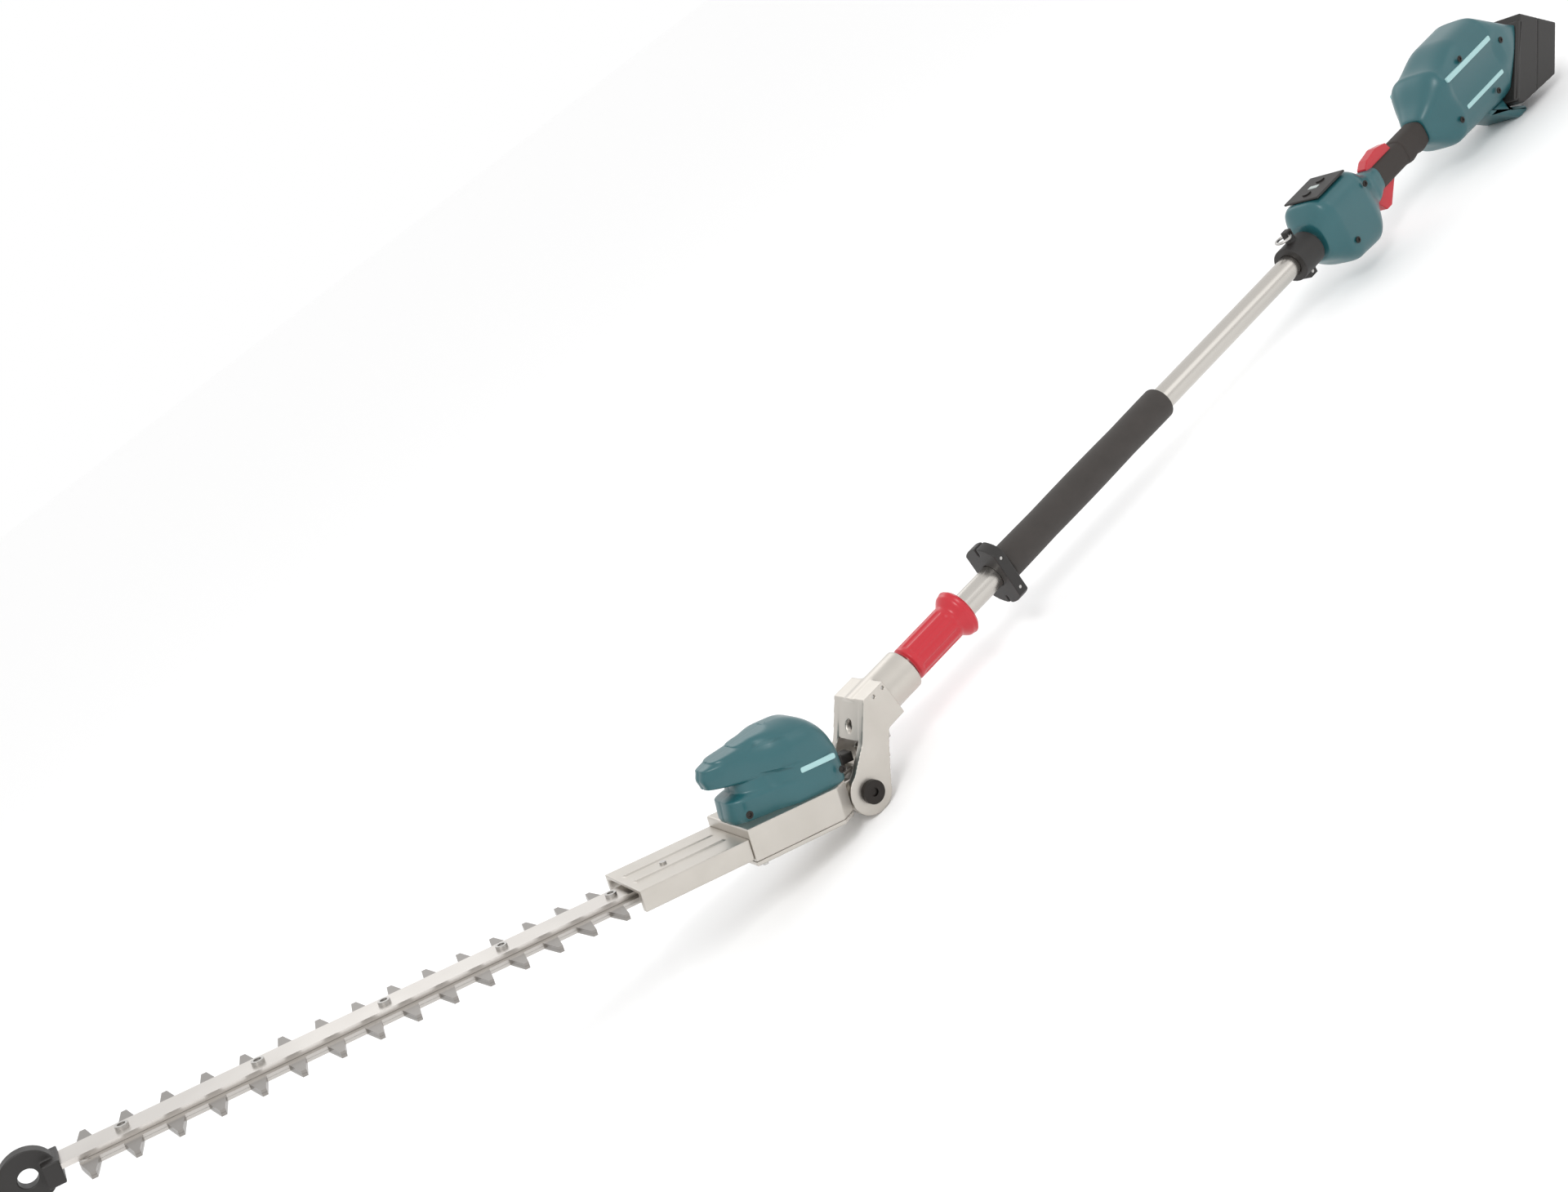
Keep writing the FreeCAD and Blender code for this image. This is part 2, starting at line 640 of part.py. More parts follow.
def motor_pieces():
    spot = "-motor_place"
    base = rod("z", (spot, "0", "case_top"), "motor_radius + 1", "12")
    seat = rod("z", (spot, "0", "case_top - 1"), "motor_bearing_radius", "8")
    hole = rod("z", (spot, "0", "case_top"), "motor_shaft_radius + 1.5", "40")
    node("motor_base", cut(base, seat, hole), "head")
    top = rod("z", (spot, "0", MOTOR_TOP), "motor_radius + 1", "12")
    top_seat = rod("z", (spot, "0", f"{MOTOR_TOP} + 6"), "motor_bearing_radius", "5")
    dish = rod("z", (spot, "0", f"{MOTOR_TOP} - 1"), "rotor_radius + 2", "5")
    top_hole = rod("z", (spot, "0", MOTOR_TOP), "motor_shaft_radius + 1.5", "20")
    node("motor_cap", cut(top, top_seat, dish, top_hole), "head")
    stator = ring("z", (spot, "0", MOTOR_LOW), "motor_radius", "rotor_radius + air_gap",
                  f"{MOTOR_TOP} - {MOTOR_LOW}")
    node("motor_stator", stator, "head")
    rings = [ring("z", (spot, "0", level), "motor_bearing_radius", "motor_shaft_radius + run_gap",
                  "bearing_width") for level in ("case_top + 2", f"{MOTOR_TOP} + 6")]
    node("motor_bearings", rings, "head")
    core = ring("z", (spot, "0", f"{MOTOR_LOW} + 2"), "rotor_radius", "motor_shaft_radius",
                f"{MOTOR_TOP} - {MOTOR_LOW} - 4")
    node("rotor_core", core, "head")
    wheel = place(gear(int(SIZES["pinion_teeth"]), 0, "gear_width"), (spot, "0", "gear_low"))
    shaft = rod("z", (spot, "0", "gear_low"), "motor_shaft_radius", f"{MOTOR_TOP} + 11 - gear_low")
    node("motor_shaft", fused(shaft, wheel), "head")


# ---------------------------------------------------------------- blades, guide bar and guard

def blade_outline(body):
    """Bar, one pair of teeth repeated along it, yoke and slots."""
    last = "last_tooth + tooth_root"
    padded(body, "XY_Plane", [(f"-({last})", "-blade_half + 8"), (f"-({last}) + 12", "-blade_half"),
                              ("-guide_rear", "-blade_half"), ("-guide_rear", "blade_half"),
                              (f"-({last}) + 12", "blade_half"), (f"-({last})", "blade_half - 8")], "blade")
    yoke = "eccentric_radius + throw_gap + yoke_wall"
    padded(body, "XY_Plane", [(f"-{CRANK_PLACE} + {yoke}", "-yoke_half"), (f"-{CRANK_PLACE} + {yoke}", "yoke_half"),
                              (f"-{CRANK_PLACE} - ({yoke})", "yoke_half"), ("-guide_rear - 14", "blade_half"),
                              ("-guide_rear - 14", "-blade_half"),
                              (f"-{CRANK_PLACE} - ({yoke})", "-yoke_half")], "blade")
    tooth = padded(body, "XY_Plane", [
        ("-last_tooth - tooth_root", "-blade_half + 2"), ("-last_tooth + tooth_root", "-blade_half + 2"),
        ("-last_tooth + tooth_tip", "-tooth_reach"), ("-last_tooth - tooth_tip", "-tooth_reach")], "blade")
    twin = padded(body, "XY_Plane", [
        ("-last_tooth - tooth_root", "blade_half - 2"), ("-last_tooth + tooth_root", "blade_half - 2"),
        ("-last_tooth + tooth_tip", "tooth_reach"), ("-last_tooth - tooth_tip", "tooth_reach")], "blade")
    pattern = body.newObject("PartDesign::LinearPattern", "Teeth")
    pattern.Originals = [tooth, twin]
    pattern.Direction = (next(item for item in body.Origin.OriginFeatures if item.Role == "X_Axis"), [""])
    bind(pattern, Length="tooth_pitch * (tooth_count - 1)", Occurrences="tooth_count")
    body.Tip = pattern


def blade_piece(label, level):
    body = new_body()
    blade_outline(body)
    place(body, ("0", "0", level))
    slot_x = "eccentric_radius + throw_gap"
    slot_y = "eccentric_radius + crank_throw + move_gap"
    yoke = slab(f"-{CRANK_PLACE} - ({slot_x})", f"-{CRANK_PLACE} + {slot_x}", slot_y, "-2 * blade - 1", "2 * blade")
    slots = []
    for index in range(int(SIZES["blade_bolt_count"])):
        middle = f"-(blade_bolt_first + {index} * blade_bolt_pitch)"
        run = "blade_bolt_radius + crank_throw + move_gap"
        slots.append(slab(f"{middle} - ({run})", f"{middle} + {run}", "blade_bolt_radius + slide_gap",
                          "-2 * blade - 1", "2 * blade"))
    node(label, cut(body, yoke, *slots), "head")


def guide_pieces():
    bolts, nuts, holes = [], [], []
    below = "-blade - blade_gap - slide_gap"
    for index in range(int(SIZES["blade_bolt_count"])):
        spot = f"-(blade_bolt_first + {index} * blade_bolt_pitch)"
        head = rod("z", (spot, "0", f"{below} - 2"), "blade_bolt_head", "2")
        shank = rod("z", (spot, "0", below), "blade_bolt_radius", f"{GUIDE_TOP} + 1 - ({below})")
        bolts.append(fused(head, shank))
        nuts.append(ring("z", (spot, "0", GUIDE_TOP), "blade_bolt_head", "blade_bolt_radius", "blade_nut"))
        holes.append(rod("z", (spot, "0", "0"), "blade_bolt_radius", "20"))
    bar = slab("-guide_front", "-guide_rear", "guide_half", GUIDE_LOW, GUIDE_TOP)
    node("guide_bar", cut(bar, *holes), "head")
    node("blade_bolts", bolts, "head")
    node("blade_nuts", nuts, "head")


def guard_piece():
    """The cast channel that carries the guide bar out of the gear case."""
    outer = slab("-guard_front", "-case_front", "guard_half", "guard_low", "guard_top")
    inner = slab("-guard_front - 1", "-case_front + 1", "guard_half - 6", "guard_low - 1", "guard_top - guard_wall")
    ribs = [box(("-guard_front + 8", f"{y} - 1.5", "guard_top"),
                ("guard_front - case_front - 20", "3", "1.5")) for y in ("-12", "12")]
    bosses = [slab(f"-({x}) - 5", f"-({x}) + 5", "guide_half - 6", GUIDE_TOP, "guard_top")
              for x in ("guard_front - 40",)]
    node("blade_guard", fused(cut(outer, inner), *ribs, *bosses), "head")
    return [rod("z", ("-guard_front + 40", "0", "guard_top"), "3", "2")]


def tip_piece():
    """The upright ring that keeps the blade tip off the ground, and that the tool hangs by."""
    hoop = cross_rod("-ring_place", "ring_above", "ring_radius", "ring_half")
    root = slab("-ring_place + ring_radius / 2", "-ring_root", "guide_half + 2", "-7", f"{GUIDE_TOP} + 4")
    hole = cross_rod("-ring_place", "ring_above", "ring_hole", "2 * ring_half")
    bar = slab("-guide_front", "-guide_rear", "guide_half", GUIDE_LOW, GUIDE_TOP)
    node("tip_protector", cut(fused(hoop, root), hole, bar), "head")


# ---------------------------------------------------------------- head cover

def cover_half():
    """The left moulded half of the motor cover, its nose and its front column."""
    body = new_body()
    padded(body, "XZ_Plane", [
        ("-cover_rear", "case_top"), ("-column_front", "case_top"), ("-column_front", "column_top"),
        ("-cover_front - 4", "column_top"), ("-cover_front - 4", "nose_low - 4"), ("-nose_front", "nose_low"),
        ("-nose_front - 5", "nose_low + 4"), ("-nose_front - 5", "nose_top - 8"), ("-nose_front + 2", "nose_top"),
        ("-cover_front", "cover_top - 5"),
        ("-cover_front + 14", "cover_top"), ("-cover_rear - cover_rise", "cover_top", "cover_dome * 1.6", 1),
        ("-cover_rear", "cover_shoulder")], "cover_half", True)
    edge = number("cover_half")
    low, high = number("cover_shoulder") - 0.1, number("nose_top") - 9
    rounded(body, "cover_half / 6", lambda e: all(abs(v.Y - edge) < 1e-4 and v.Z > low for v in e.Vertexes)
            and max(v.Z for v in e.Vertexes) > high)
    pocketed(body, "XZ_Plane", [
        ("-cover_rear - shell", "case_top"), ("-column_front + shell", "case_top"),
        ("-column_front + shell", "column_top - shell"), ("-cover_front", "column_top - shell"),
        ("-cover_front", "cover_top - 5 - 2 * shell"), ("-cover_front + 14", "cover_top - 2 * shell"),
        ("-cover_rear - cover_rise", "cover_top - 2 * shell", "cover_dome * 1.6", 1),
        ("-cover_rear - 2 * shell", "cover_shoulder + shell")], "cover_half - shell", False)
    return body


def cover_pieces():
    left = cover_half()
    node("head_cover_left", left, "head")
    node("head_cover_right", mirrored(left), "head")
    boot = fused(slab("-cover_rear", "-cover_rear + 8", "10", "case_top + 3", "cover_shoulder - 2"),
                 slab("-cover_rear + 8", "2", "7", "case_top + 5", "cover_shoulder - 4"))
    node("cable_boot", boot, "head")
    spots = [("-cover_rear - 9", "cover_shoulder - 6"), ("-column_front + 10", "case_top + 10")]
    node("cover_screws", [rod("y", (x, "-cover_half - 0.6", z), "screw_radius", "0.6") for x, z in spots], "head")


# ---------------------------------------------------------------- rear housing, handle and controls

RAIL_TOP_X = "pack_along + pack_length * cos(pack_slope)"
RAIL_TOP_Z = "-pack_below + pack_length * sin(pack_slope)"
SLANT_X = f"{RAIL_TOP_X} - (rear_top - ({RAIL_TOP_Z})) * tan(pack_slope)"
GROUND = "-pivot_drop - rest_height"

UNDER = "-handle_low"
FLARE = [("flare_front", "-flare_low + 22"), ("flare_front + 42", "-flare_low"),
         ("flare_rear - 24", "-flare_low + 2"), ("flare_rear", "-handle_low"), ("flare_rear", "handle_top"),
         ("flare_rear - 34", "flare_top"), ("flare_front + 14", "flare_top"), ("flare_front", "flare_top - 10")]
FLARE_ROOM = [("flare_front + shell", "-flare_low + 24"), ("flare_front + 43", "-flare_low + shell"),
              ("flare_rear - 26", "-flare_low + 2 + shell"), ("flare_rear - 2", "-handle_low + shell"),
              ("flare_rear - 2", "handle_top - shell"), ("flare_rear - 36", "flare_top - shell"),
              ("flare_front + 15", "flare_top - shell"), ("flare_front + shell", "flare_top - 12")]
HANDLE = [("flare_rear - 6", "-handle_low"), ("rear_front + 6", "-handle_low"),
          ("rear_front + 6", "handle_top"), ("flare_rear - 6", "handle_top")]
HANDLE_ROOM = [("flare_rear - 6", "-handle_low + shell"), ("rear_front + 6", "-handle_low + shell"),
               ("rear_front + 6", "handle_top - shell"), ("flare_rear - 6", "handle_top - shell")]
REAR = [("rear_front", "-rear_low + 10"), ("rear_front + 14", "-rear_low"), ("pack_along - 40", "-rear_low"),
        ("pack_along - 6", "-pack_below - 2"), ("pack_along", "-pack_below"), (RAIL_TOP_X, RAIL_TOP_Z),
        (SLANT_X, "rear_top"), ("rear_front + 50", "rear_top", "180", -1), ("rear_front", "handle_top + 8")]
FOOT = [("pack_along - 38", "-rear_low + 2"), ("pack_along + 8", GROUND), ("pack_along + 24", GROUND),
        ("pack_along + 24", f"{GROUND} + 7"), ("pack_along - 2", "-pack_below - 5"),
        ("pack_along - 4", "-pack_below + 4")]
REAR_ROOM = [("rear_front + shell", "-rear_low + 12"), ("rear_front + 15", "-rear_low + shell"),
             ("pack_along + (pack_below - rear_low) / tan(pack_slope) - 4", "-rear_low + shell"),
             (f"{RAIL_TOP_X} - 2 * shell", f"{RAIL_TOP_Z} - shell"), (f"{SLANT_X} - 1", "rear_top - shell"),
             ("rear_front + 51", "rear_top - shell"), ("rear_front + shell", "handle_top + 6")]


def rear_half():
    """The left moulded half: flare around the pipe's rear end, handle and battery housing."""
    body = new_body()
    for outline, half in ((HANDLE, "handle_half"), (FLARE, "flare_half"), (REAR, "rear_half"), (FOOT, "foot_half")):
        padded(body, "XZ_Plane", outline, half, True)
    for half, radius, low in (("flare_half", "flare_half / 4", "-flare_low"),
                              ("rear_half", "rear_half / 4", "-rear_low"),
                              ("handle_half", "handle_half / 3", "-flare_low")):
        edge, floor = number(half), number(low) - 0.1
        rounded(body, radius, lambda e: all(abs(v.Y - edge) < 1e-4 and v.Z > floor for v in e.Vertexes))
    for outline, half in ((HANDLE_ROOM, "handle_half"), (FLARE_ROOM, "flare_half"), (REAR_ROOM, "rear_half")):
        pocketed(body, "XZ_Plane", outline, f"{half} - shell")
    holes = [
        rod("x", ("flare_front - 1", "0", "0"), "pipe_radius", "2 * shell + 2"),
        slab("trigger_front - 5", "trigger_pivot - 0.5", "trigger_half + move_gap", "-handle_low - 30", "-handle_low + 4"),
        slab("lever_front - 1", "lever_pivot + 4", "lever_half + move_gap", "handle_top - 4", "handle_top + 30"),
    ]
    holes += [rod("z", (x, "0", "flare_top - shell - 1"), "button_radius + move_gap", "2 * shell")
              for x in ("flare_front + 28", "flare_front + 54")]
    return cut(body, *holes)


def handle_pieces():
    left = rear_half()
    node("rear_shell_left", left, "pole")
    node("rear_shell_right", mirrored(left), "pole")
    outer = slab("lever_pivot + 10", "rear_front - handle_half / 3", "handle_half + 2", "-handle_low - 2",
                 "handle_top + 2")
    inner = slab("lever_pivot + 9", "rear_front + 1", "handle_half", "-handle_low", "handle_top")
    node("handle_overmould", cut(outer, inner), "pole")
    node("switch_unit", slab("trigger_front + 6", "trigger_front + 33", "trigger_half", "-3", "4"), "pole")
    node("control_board", slab("flare_front + 16", "flare_rear - 40", "16", "flare_top - 14", "flare_top - 12"),
         "pole")
    node("power_board", slab("rear_front + 24", "pack_along - 10", "26", "-22", "-19"), "pole")
    spots = [("flare_front + 26", "-20", "flare_half"), ("flare_rear - 30", "20", "flare_half"),
             ("rear_front + 24", "-10", "rear_half"), ("rear_front + 62", "44", "rear_half"),
             ("pack_along - 22", "-18", "rear_half"), ("pack_along + 16", "24", "rear_half")]
    screws = [rod("y", (x, f"-{half} - 0.6", z), "screw_radius", "0.6") for x, z, half in spots]
    node("housing_screws", screws, "pole")


def control_pieces():
    """Panel, lens, the two buttons, the trigger and the lever that locks it."""
    buttons = {"power_button": "flare_front + 28", "reverse_button": "flare_front + 54"}
    plate = slab("flare_front + 15", "flare_rear - 35", "panel_half", "flare_top", "flare_top + panel_thickness")
    holes = [rod("z", (x, "0", "flare_top"), "button_radius + run_gap", "2 * panel_thickness")
             for x in buttons.values()]
    window = slab("flare_front + 38", "flare_front + 44", "6", "flare_top + 1", "flare_top + 2 * panel_thickness")
    node("control_panel", cut(plate, window, *holes), "pole")
    node("indicator_lens", slab("flare_front + 38", "flare_front + 44", "6", "flare_top + 1",
                                "flare_top + panel_thickness + 0.3"), "pole")
    for label, x in buttons.items():
        node(label, rod("z", (x, "0", "flare_top - 1"), "button_radius", "panel_thickness + button_rise + 1"),
             "pole")
    trigger_pin = lever(
        "trigger", [("trigger_front", f"{UNDER} + 3"), ("trigger_front", f"{UNDER} - 8"),
                    ("trigger_front + 8", f"{UNDER} - trigger_drop"),
                    ("trigger_front + 17", f"{UNDER} - trigger_drop"), ("trigger_pivot - 8", f"{UNDER} - 2"),
                    ("trigger_pivot", f"{UNDER} + 5"), ("trigger_pivot", f"{UNDER} + 11")],
        ("trigger_pivot", f"{UNDER} + shell + hub_radius + 1"), "trigger_half")
    lever_pin = lever(
        "lock_off_lever", [("lever_front", "handle_top - 5"), ("lever_pivot", "handle_top - 9"),
                           ("lever_pivot + 2", "handle_top - 4"), ("lever_pivot - 3", "handle_top + 8"),
                           ("lever_front + 28", "handle_top + lever_top"), ("lever_front + 8", "handle_top + 9"),
                           ("lever_front", "handle_top + 3")],
        ("lever_pivot - 2", "handle_top - shell - hub_radius - 0.5"), "lever_half")
    node("lever_pins", [trigger_pin, lever_pin], "pole")


def lever(label, outline, hub, half):
    """A moulded lever on a steel pin across the handle."""
    boss = cross_rod(hub[0], hub[1], "hub_radius", half)
    bore = cross_rod(hub[0], hub[1], "hub_pin_radius + run_gap", f"{half} + 1")
    node(label, cut(fused(wedge(outline, half), boss), bore), "pole")
    return cross_rod(hub[0], hub[1], "hub_pin_radius", "handle_half - shell")


# ---------------------------------------------------------------- battery

RAIL = "pack_length - 12"
SPLIT = "-pack_depth / 2"
PACK_FACE = "-slide_gap"


def pack_pieces():
    stem = slab("6", RAIL, "18", "-rail_depth / 2", "0")
    flange = slab("6", RAIL, "22", "-rail_depth", "-rail_depth / 2")
    recess = slab("30", "60", "12", "-rail_depth - 1", "-2")
    node("battery_rails", cut(fused(stem, flange), recess), "pack")
    node("terminal_block", slab("30", "60", "12", "-rail_depth + 2", "-2"), "pack")
    slot = fused(slab("-1", f"{RAIL} + 1", "18 + slide_gap", "-rail_depth", "1"),
                 slab("-1", f"{RAIL} + 1", "22 + slide_gap", "-rail_depth - slide_gap",
                      "-rail_depth / 2 + slide_gap"))
    wall = "pack_wall"
    lid = wedge([("slide_gap", PACK_FACE), ("pack_length", PACK_FACE), ("pack_length", SPLIT),
                 (f"({SPLIT} + 10) * -0.74", SPLIT), ("slide_gap", "-10")], "pack_half")
    lid_room = slab("20", f"pack_length - {wall}", f"pack_half - {wall}", f"{SPLIT} - 1", f"-rail_depth - {wall}")
    window = slab("pack_length - 8", "pack_length + 1", "12 + move_gap", "-28 - move_gap", "-14 + move_gap")
    node("pack_lid", cut(lid, lid_room, slot, window), "pack")
    case = wedge([(f"({SPLIT} + 10) * -0.74", SPLIT), ("pack_length", SPLIT),
                  ("pack_length", "-pack_depth"), ("(pack_depth - 10) * 0.74", "-pack_depth")], "pack_half")
    case_room = slab("(pack_depth - 10) * 0.74", f"pack_length - {wall}", f"pack_half - {wall}",
                     f"-pack_depth + {wall}", f"{SPLIT} + 1")
    node("pack_case", cut(case, case_room), "pack")
    cells = [cross_rod(x, z, "10.4", f"pack_half - {wall} - 0.2")
             for x, z in (("36", "-21.5"), ("57.5", "-21.5"), ("79", "-21.5"), ("56", "-43"), ("78", "-43"))]
    node("battery_cells", cells, "pack")
    node("battery_button", slab("pack_length - 5", "pack_length + 1", "12", "-28", "-14"), "pack")


# ---------------------------------------------------------------- everything

pipe_pieces()
node("pipe_screws", hand_stop_pieces() + hanger_pieces() + knuckle_pieces(), "pole")
pivot_pieces()
sleeve_pieces()
index_pieces()
crank_pieces()
motor_pieces()
blade_piece("upper_blade", "0")
blade_piece("lower_blade", "-blade - blade_gap")
guide_pieces()
node("case_screws", case_pieces() + guard_piece(), "head")
tip_piece()
cover_pieces()
handle_pieces()
control_pieces()
pack_pieces()

doc.recompute()


def check(thing):
    """Stop at an object that failed, or at a shape that is empty or broken."""
    if any(word in thing.State for word in ("Invalid", "Error")):
        raise RuntimeError(f"{thing.Name} ({thing.Label}) failed: {thing.State}")


for thing in doc.Objects:
    check(thing)
os.makedirs("parts", exist_ok=True)
for stood in nodes:
    if stood.Shape.isNull() or not stood.Shape.isValid() or stood.Shape.Volume <= 0:
        raise RuntimeError(f"{stood.Label} has no valid shape")
    stood.Shape.exportStep(os.path.join("parts", stood.Label + ".step"))
    print(f"{stood.Label}: {len(stood.Shape.Solids)} solids, {stood.Shape.Volume:.0f} mm3")
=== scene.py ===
"""Looks of the cordless pole hedge trimmer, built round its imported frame.

Every new piece is a surface worked out in millimetres in one of three local frames, whose places
come from the frame's joints and nodes:
  pole  X from the head to the battery along the pipe, Z up, origin above the head's pivot
  head  -X from the pivot to the blade's tip, Z up from the blades, origin in the pivot
  pack  X up the slanted battery rails, -Z out of them
"""
import bpy
import json
import math
import numpy as np
from mathutils import Matrix, Vector


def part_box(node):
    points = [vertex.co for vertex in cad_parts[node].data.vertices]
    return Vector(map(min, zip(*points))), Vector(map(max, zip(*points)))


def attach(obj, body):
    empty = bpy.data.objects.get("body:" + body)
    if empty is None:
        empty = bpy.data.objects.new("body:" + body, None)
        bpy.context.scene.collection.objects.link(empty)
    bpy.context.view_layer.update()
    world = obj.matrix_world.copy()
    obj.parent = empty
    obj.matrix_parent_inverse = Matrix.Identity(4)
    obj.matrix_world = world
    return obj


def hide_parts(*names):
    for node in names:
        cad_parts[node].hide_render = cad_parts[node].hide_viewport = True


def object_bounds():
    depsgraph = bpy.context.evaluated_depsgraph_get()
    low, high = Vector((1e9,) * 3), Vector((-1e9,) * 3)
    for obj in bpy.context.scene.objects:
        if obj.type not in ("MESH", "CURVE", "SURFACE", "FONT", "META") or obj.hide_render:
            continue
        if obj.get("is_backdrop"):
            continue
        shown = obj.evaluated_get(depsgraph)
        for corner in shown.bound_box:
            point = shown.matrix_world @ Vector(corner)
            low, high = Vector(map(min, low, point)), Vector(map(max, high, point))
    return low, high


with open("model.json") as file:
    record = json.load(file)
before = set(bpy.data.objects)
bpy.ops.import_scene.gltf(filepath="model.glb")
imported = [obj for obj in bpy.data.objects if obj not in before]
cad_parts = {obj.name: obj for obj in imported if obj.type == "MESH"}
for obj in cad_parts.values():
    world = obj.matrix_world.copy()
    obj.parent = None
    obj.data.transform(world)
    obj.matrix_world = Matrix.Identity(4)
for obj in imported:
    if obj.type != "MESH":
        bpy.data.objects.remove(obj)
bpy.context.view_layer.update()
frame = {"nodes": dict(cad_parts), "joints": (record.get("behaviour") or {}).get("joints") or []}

MM = 0.001
TURN = 2 * math.pi
RIM_STEPS = 6                       # points round the quarter circle of a rounded rim
CORNER_STEPS = 7                    # points round an outline's rounded corner
HALF_A_SIDE = 0.48                  # how much of an outline's side one corner may take
NEVER_ALONG = (0.31, 0.2, 0.93)     # a direction that no wire runs in
SHARP_FORMED, SHARP_CAST = 40, 60   # edges over so many degrees stay crisp
JOINTS = {joint["name"]: joint for joint in frame["joints"]}


# ---------------------------------------------------------------- local frames

def stood(along, origin):
    """A local frame: its origin in mm and its three axes as rows, Y across the tool."""
    along = np.array(along, float)
    across = np.array((0.0, 1.0, 0.0))
    return np.array(origin, float), np.stack([along, across, np.cross(along, across)])


PIVOT = np.array(JOINTS["head_tilt"]["pos_m"]) / MM
PIPE_LEVEL = sum(corner.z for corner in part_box("main_pipe")) / 2 / MM
FRAMES = {
    "pole": stood((1, 0, 0), (PIVOT[0], 0, PIPE_LEVEL)),
    "head": stood(-np.array(JOINTS["upper_blade_stroke"]["axis"]), PIVOT),
    "pack": stood(JOINTS["battery_slide"]["axis"], PIVOT),
}


def in_row(points, place):
    """Points in mm in a local frame, as metres in the row's frame."""
    origin, axes = FRAMES[place]
    return (points @ axes + origin) * MM


def node_points(name, place):
    """A CAD node's vertices in mm in a local frame."""
    mesh = frame["nodes"][name].data
    points = np.empty(len(mesh.vertices) * 3, np.float32)
    mesh.vertices.foreach_get("co", points)
    origin, axes = FRAMES[place]
    return (points.reshape(-1, 3).astype(float) / MM - origin) @ axes.T


def span(place, *names):
    """The lowest and highest corner of some CAD nodes, in mm in a local frame."""
    points = np.concatenate([node_points(name, place) for name in names])
    return points.min(0), points.max(0)


def solids(name, place):
    """The box of each separate solid in a CAD node: corners that share a face take one number."""
    points = node_points(name, place)
    mesh = frame["nodes"][name].data
    loops = np.empty(len(mesh.loops), np.int32)
    mesh.loops.foreach_get("vertex_index", loops)
    _, spots = np.unique(points.round(2), axis=0, return_inverse=True)
    corners = spots.reshape(-1)[loops].reshape(-1, 3)
    group = np.arange(spots.max() + 1)
    while True:
        lowest = group[corners].min(1)
        after = group.copy()
        np.minimum.at(after, corners, lowest[:, None])
        if (after == group).all():
            break
        group = after
    owner = group[spots.reshape(-1)]
    return [(points[owner == one].min(0), points[owner == one].max(0)) for one in np.unique(owner)]


# ---------------------------------------------------------------- surfaces

def linked(name, data):
    """A new object in the scene that holds a mesh, a lamp or a camera."""
    piece = bpy.data.objects.new(name, data)
    bpy.context.scene.collection.objects.link(piece)
    return piece


def surface(name, points, place):
    """A closed mesh from a grid of points in mm, each row a ring.

    Quads join neighbouring rows, and a fan about the mean of each end row closes the ends.
    """
    rows, columns = points.shape[:2]
    index = np.arange(rows * columns).reshape(rows, columns)
    beside = np.roll(index, -1, 1)
    faces = np.stack([index[:-1], beside[:-1], beside[1:], index[1:]], -1).reshape(-1, 4).tolist()
    for ring, hub in ((index[0][::-1], rows * columns), (index[-1], rows * columns + 1)):
        faces += np.stack([ring, np.roll(ring, -1), np.full(columns, hub)], -1).tolist()
    flat = np.concatenate([points.reshape(-1, 3), points[[0, -1]].mean(1)])
    mesh = bpy.data.meshes.new(name)
    mesh.from_pydata(in_row(flat, place).tolist(), [], faces)
    mesh.validate()
    return outward(linked(name, mesh))


def outward(piece, sharp=SHARP_FORMED):
    """Turn the faces outwards and smooth all but the sharp edges."""
    mesh = piece.data
    points = np.empty(len(mesh.vertices) * 3, np.float32)
    mesh.vertices.foreach_get("co", points)
    mesh.calc_loop_triangles()
    corners = np.empty(len(mesh.loop_triangles) * 3, np.int32)
    mesh.loop_triangles.foreach_get("vertices", corners)
    a, b, c = points.reshape(-1, 3)[corners].reshape(-1, 3, 3).transpose(1, 0, 2).astype(float)
    if np.einsum("ij,ij->", a, np.cross(b, c)) < 0:
        mesh.flip_normals()
    mesh.polygons.foreach_set("use_smooth", [True] * len(mesh.polygons))
    mesh.set_sharp_from_angle(angle=math.radians(sharp))
    return piece


def painted(mesh, material):
    """Give a mesh one material."""
    mesh.materials.clear()
    mesh.materials.append(material)


def dressed(piece, body, material, *nodes):
    """Give a piece its body, its finish and the CAD nodes that it stands for."""
    painted(piece.data, material)
    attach(piece, body)
    if nodes:
        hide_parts(*nodes)
    return piece


def along(keys, x):
    """A smooth line through (place, size) pairs: between two of them it eases in and out."""
    places, sizes = np.array(keys, float).T
    part = np.clip(np.searchsorted(places, x, side="right") - 1, 0, len(places) - 2)
    share = np.clip((x - places[part]) / (places[part + 1] - places[part]), 0, 1)
    share = share * share * (3 - 2 * share)
    return sizes[part] + (sizes[part + 1] - sizes[part]) * share


def bow(angle, power):
    """Cosine and sine drawn out towards a box: |cos|^(2/power) with its sign."""
    cos, sin = np.cos(angle), np.sin(angle)
    return (np.sign(cos) * np.abs(cos) ** (2 / power), np.sign(sin) * np.abs(sin) ** (2 / power))


def lofted(name, place, x, top, low, half, power, count=96, shift=None):
    """Sections across X, each a rounded box from low to top and half as wide on each side.

    A point at angle v is y = half * bow(cos v), z = middle + (top - low) / 2 * bow(sin v).
    """
    v = np.arange(count) / count * TURN
    across, up = bow(v[None, :], np.broadcast_to(power, x.shape)[:, None])
    y = half[:, None] * across
    z = ((top + low) / 2)[:, None] + ((top - low) / 2)[:, None] * up
    points = np.stack([np.broadcast_to(x[:, None], y.shape), y, z], -1)
    if shift is not None:
        points = shift(points)
    return surface(name, points, place)


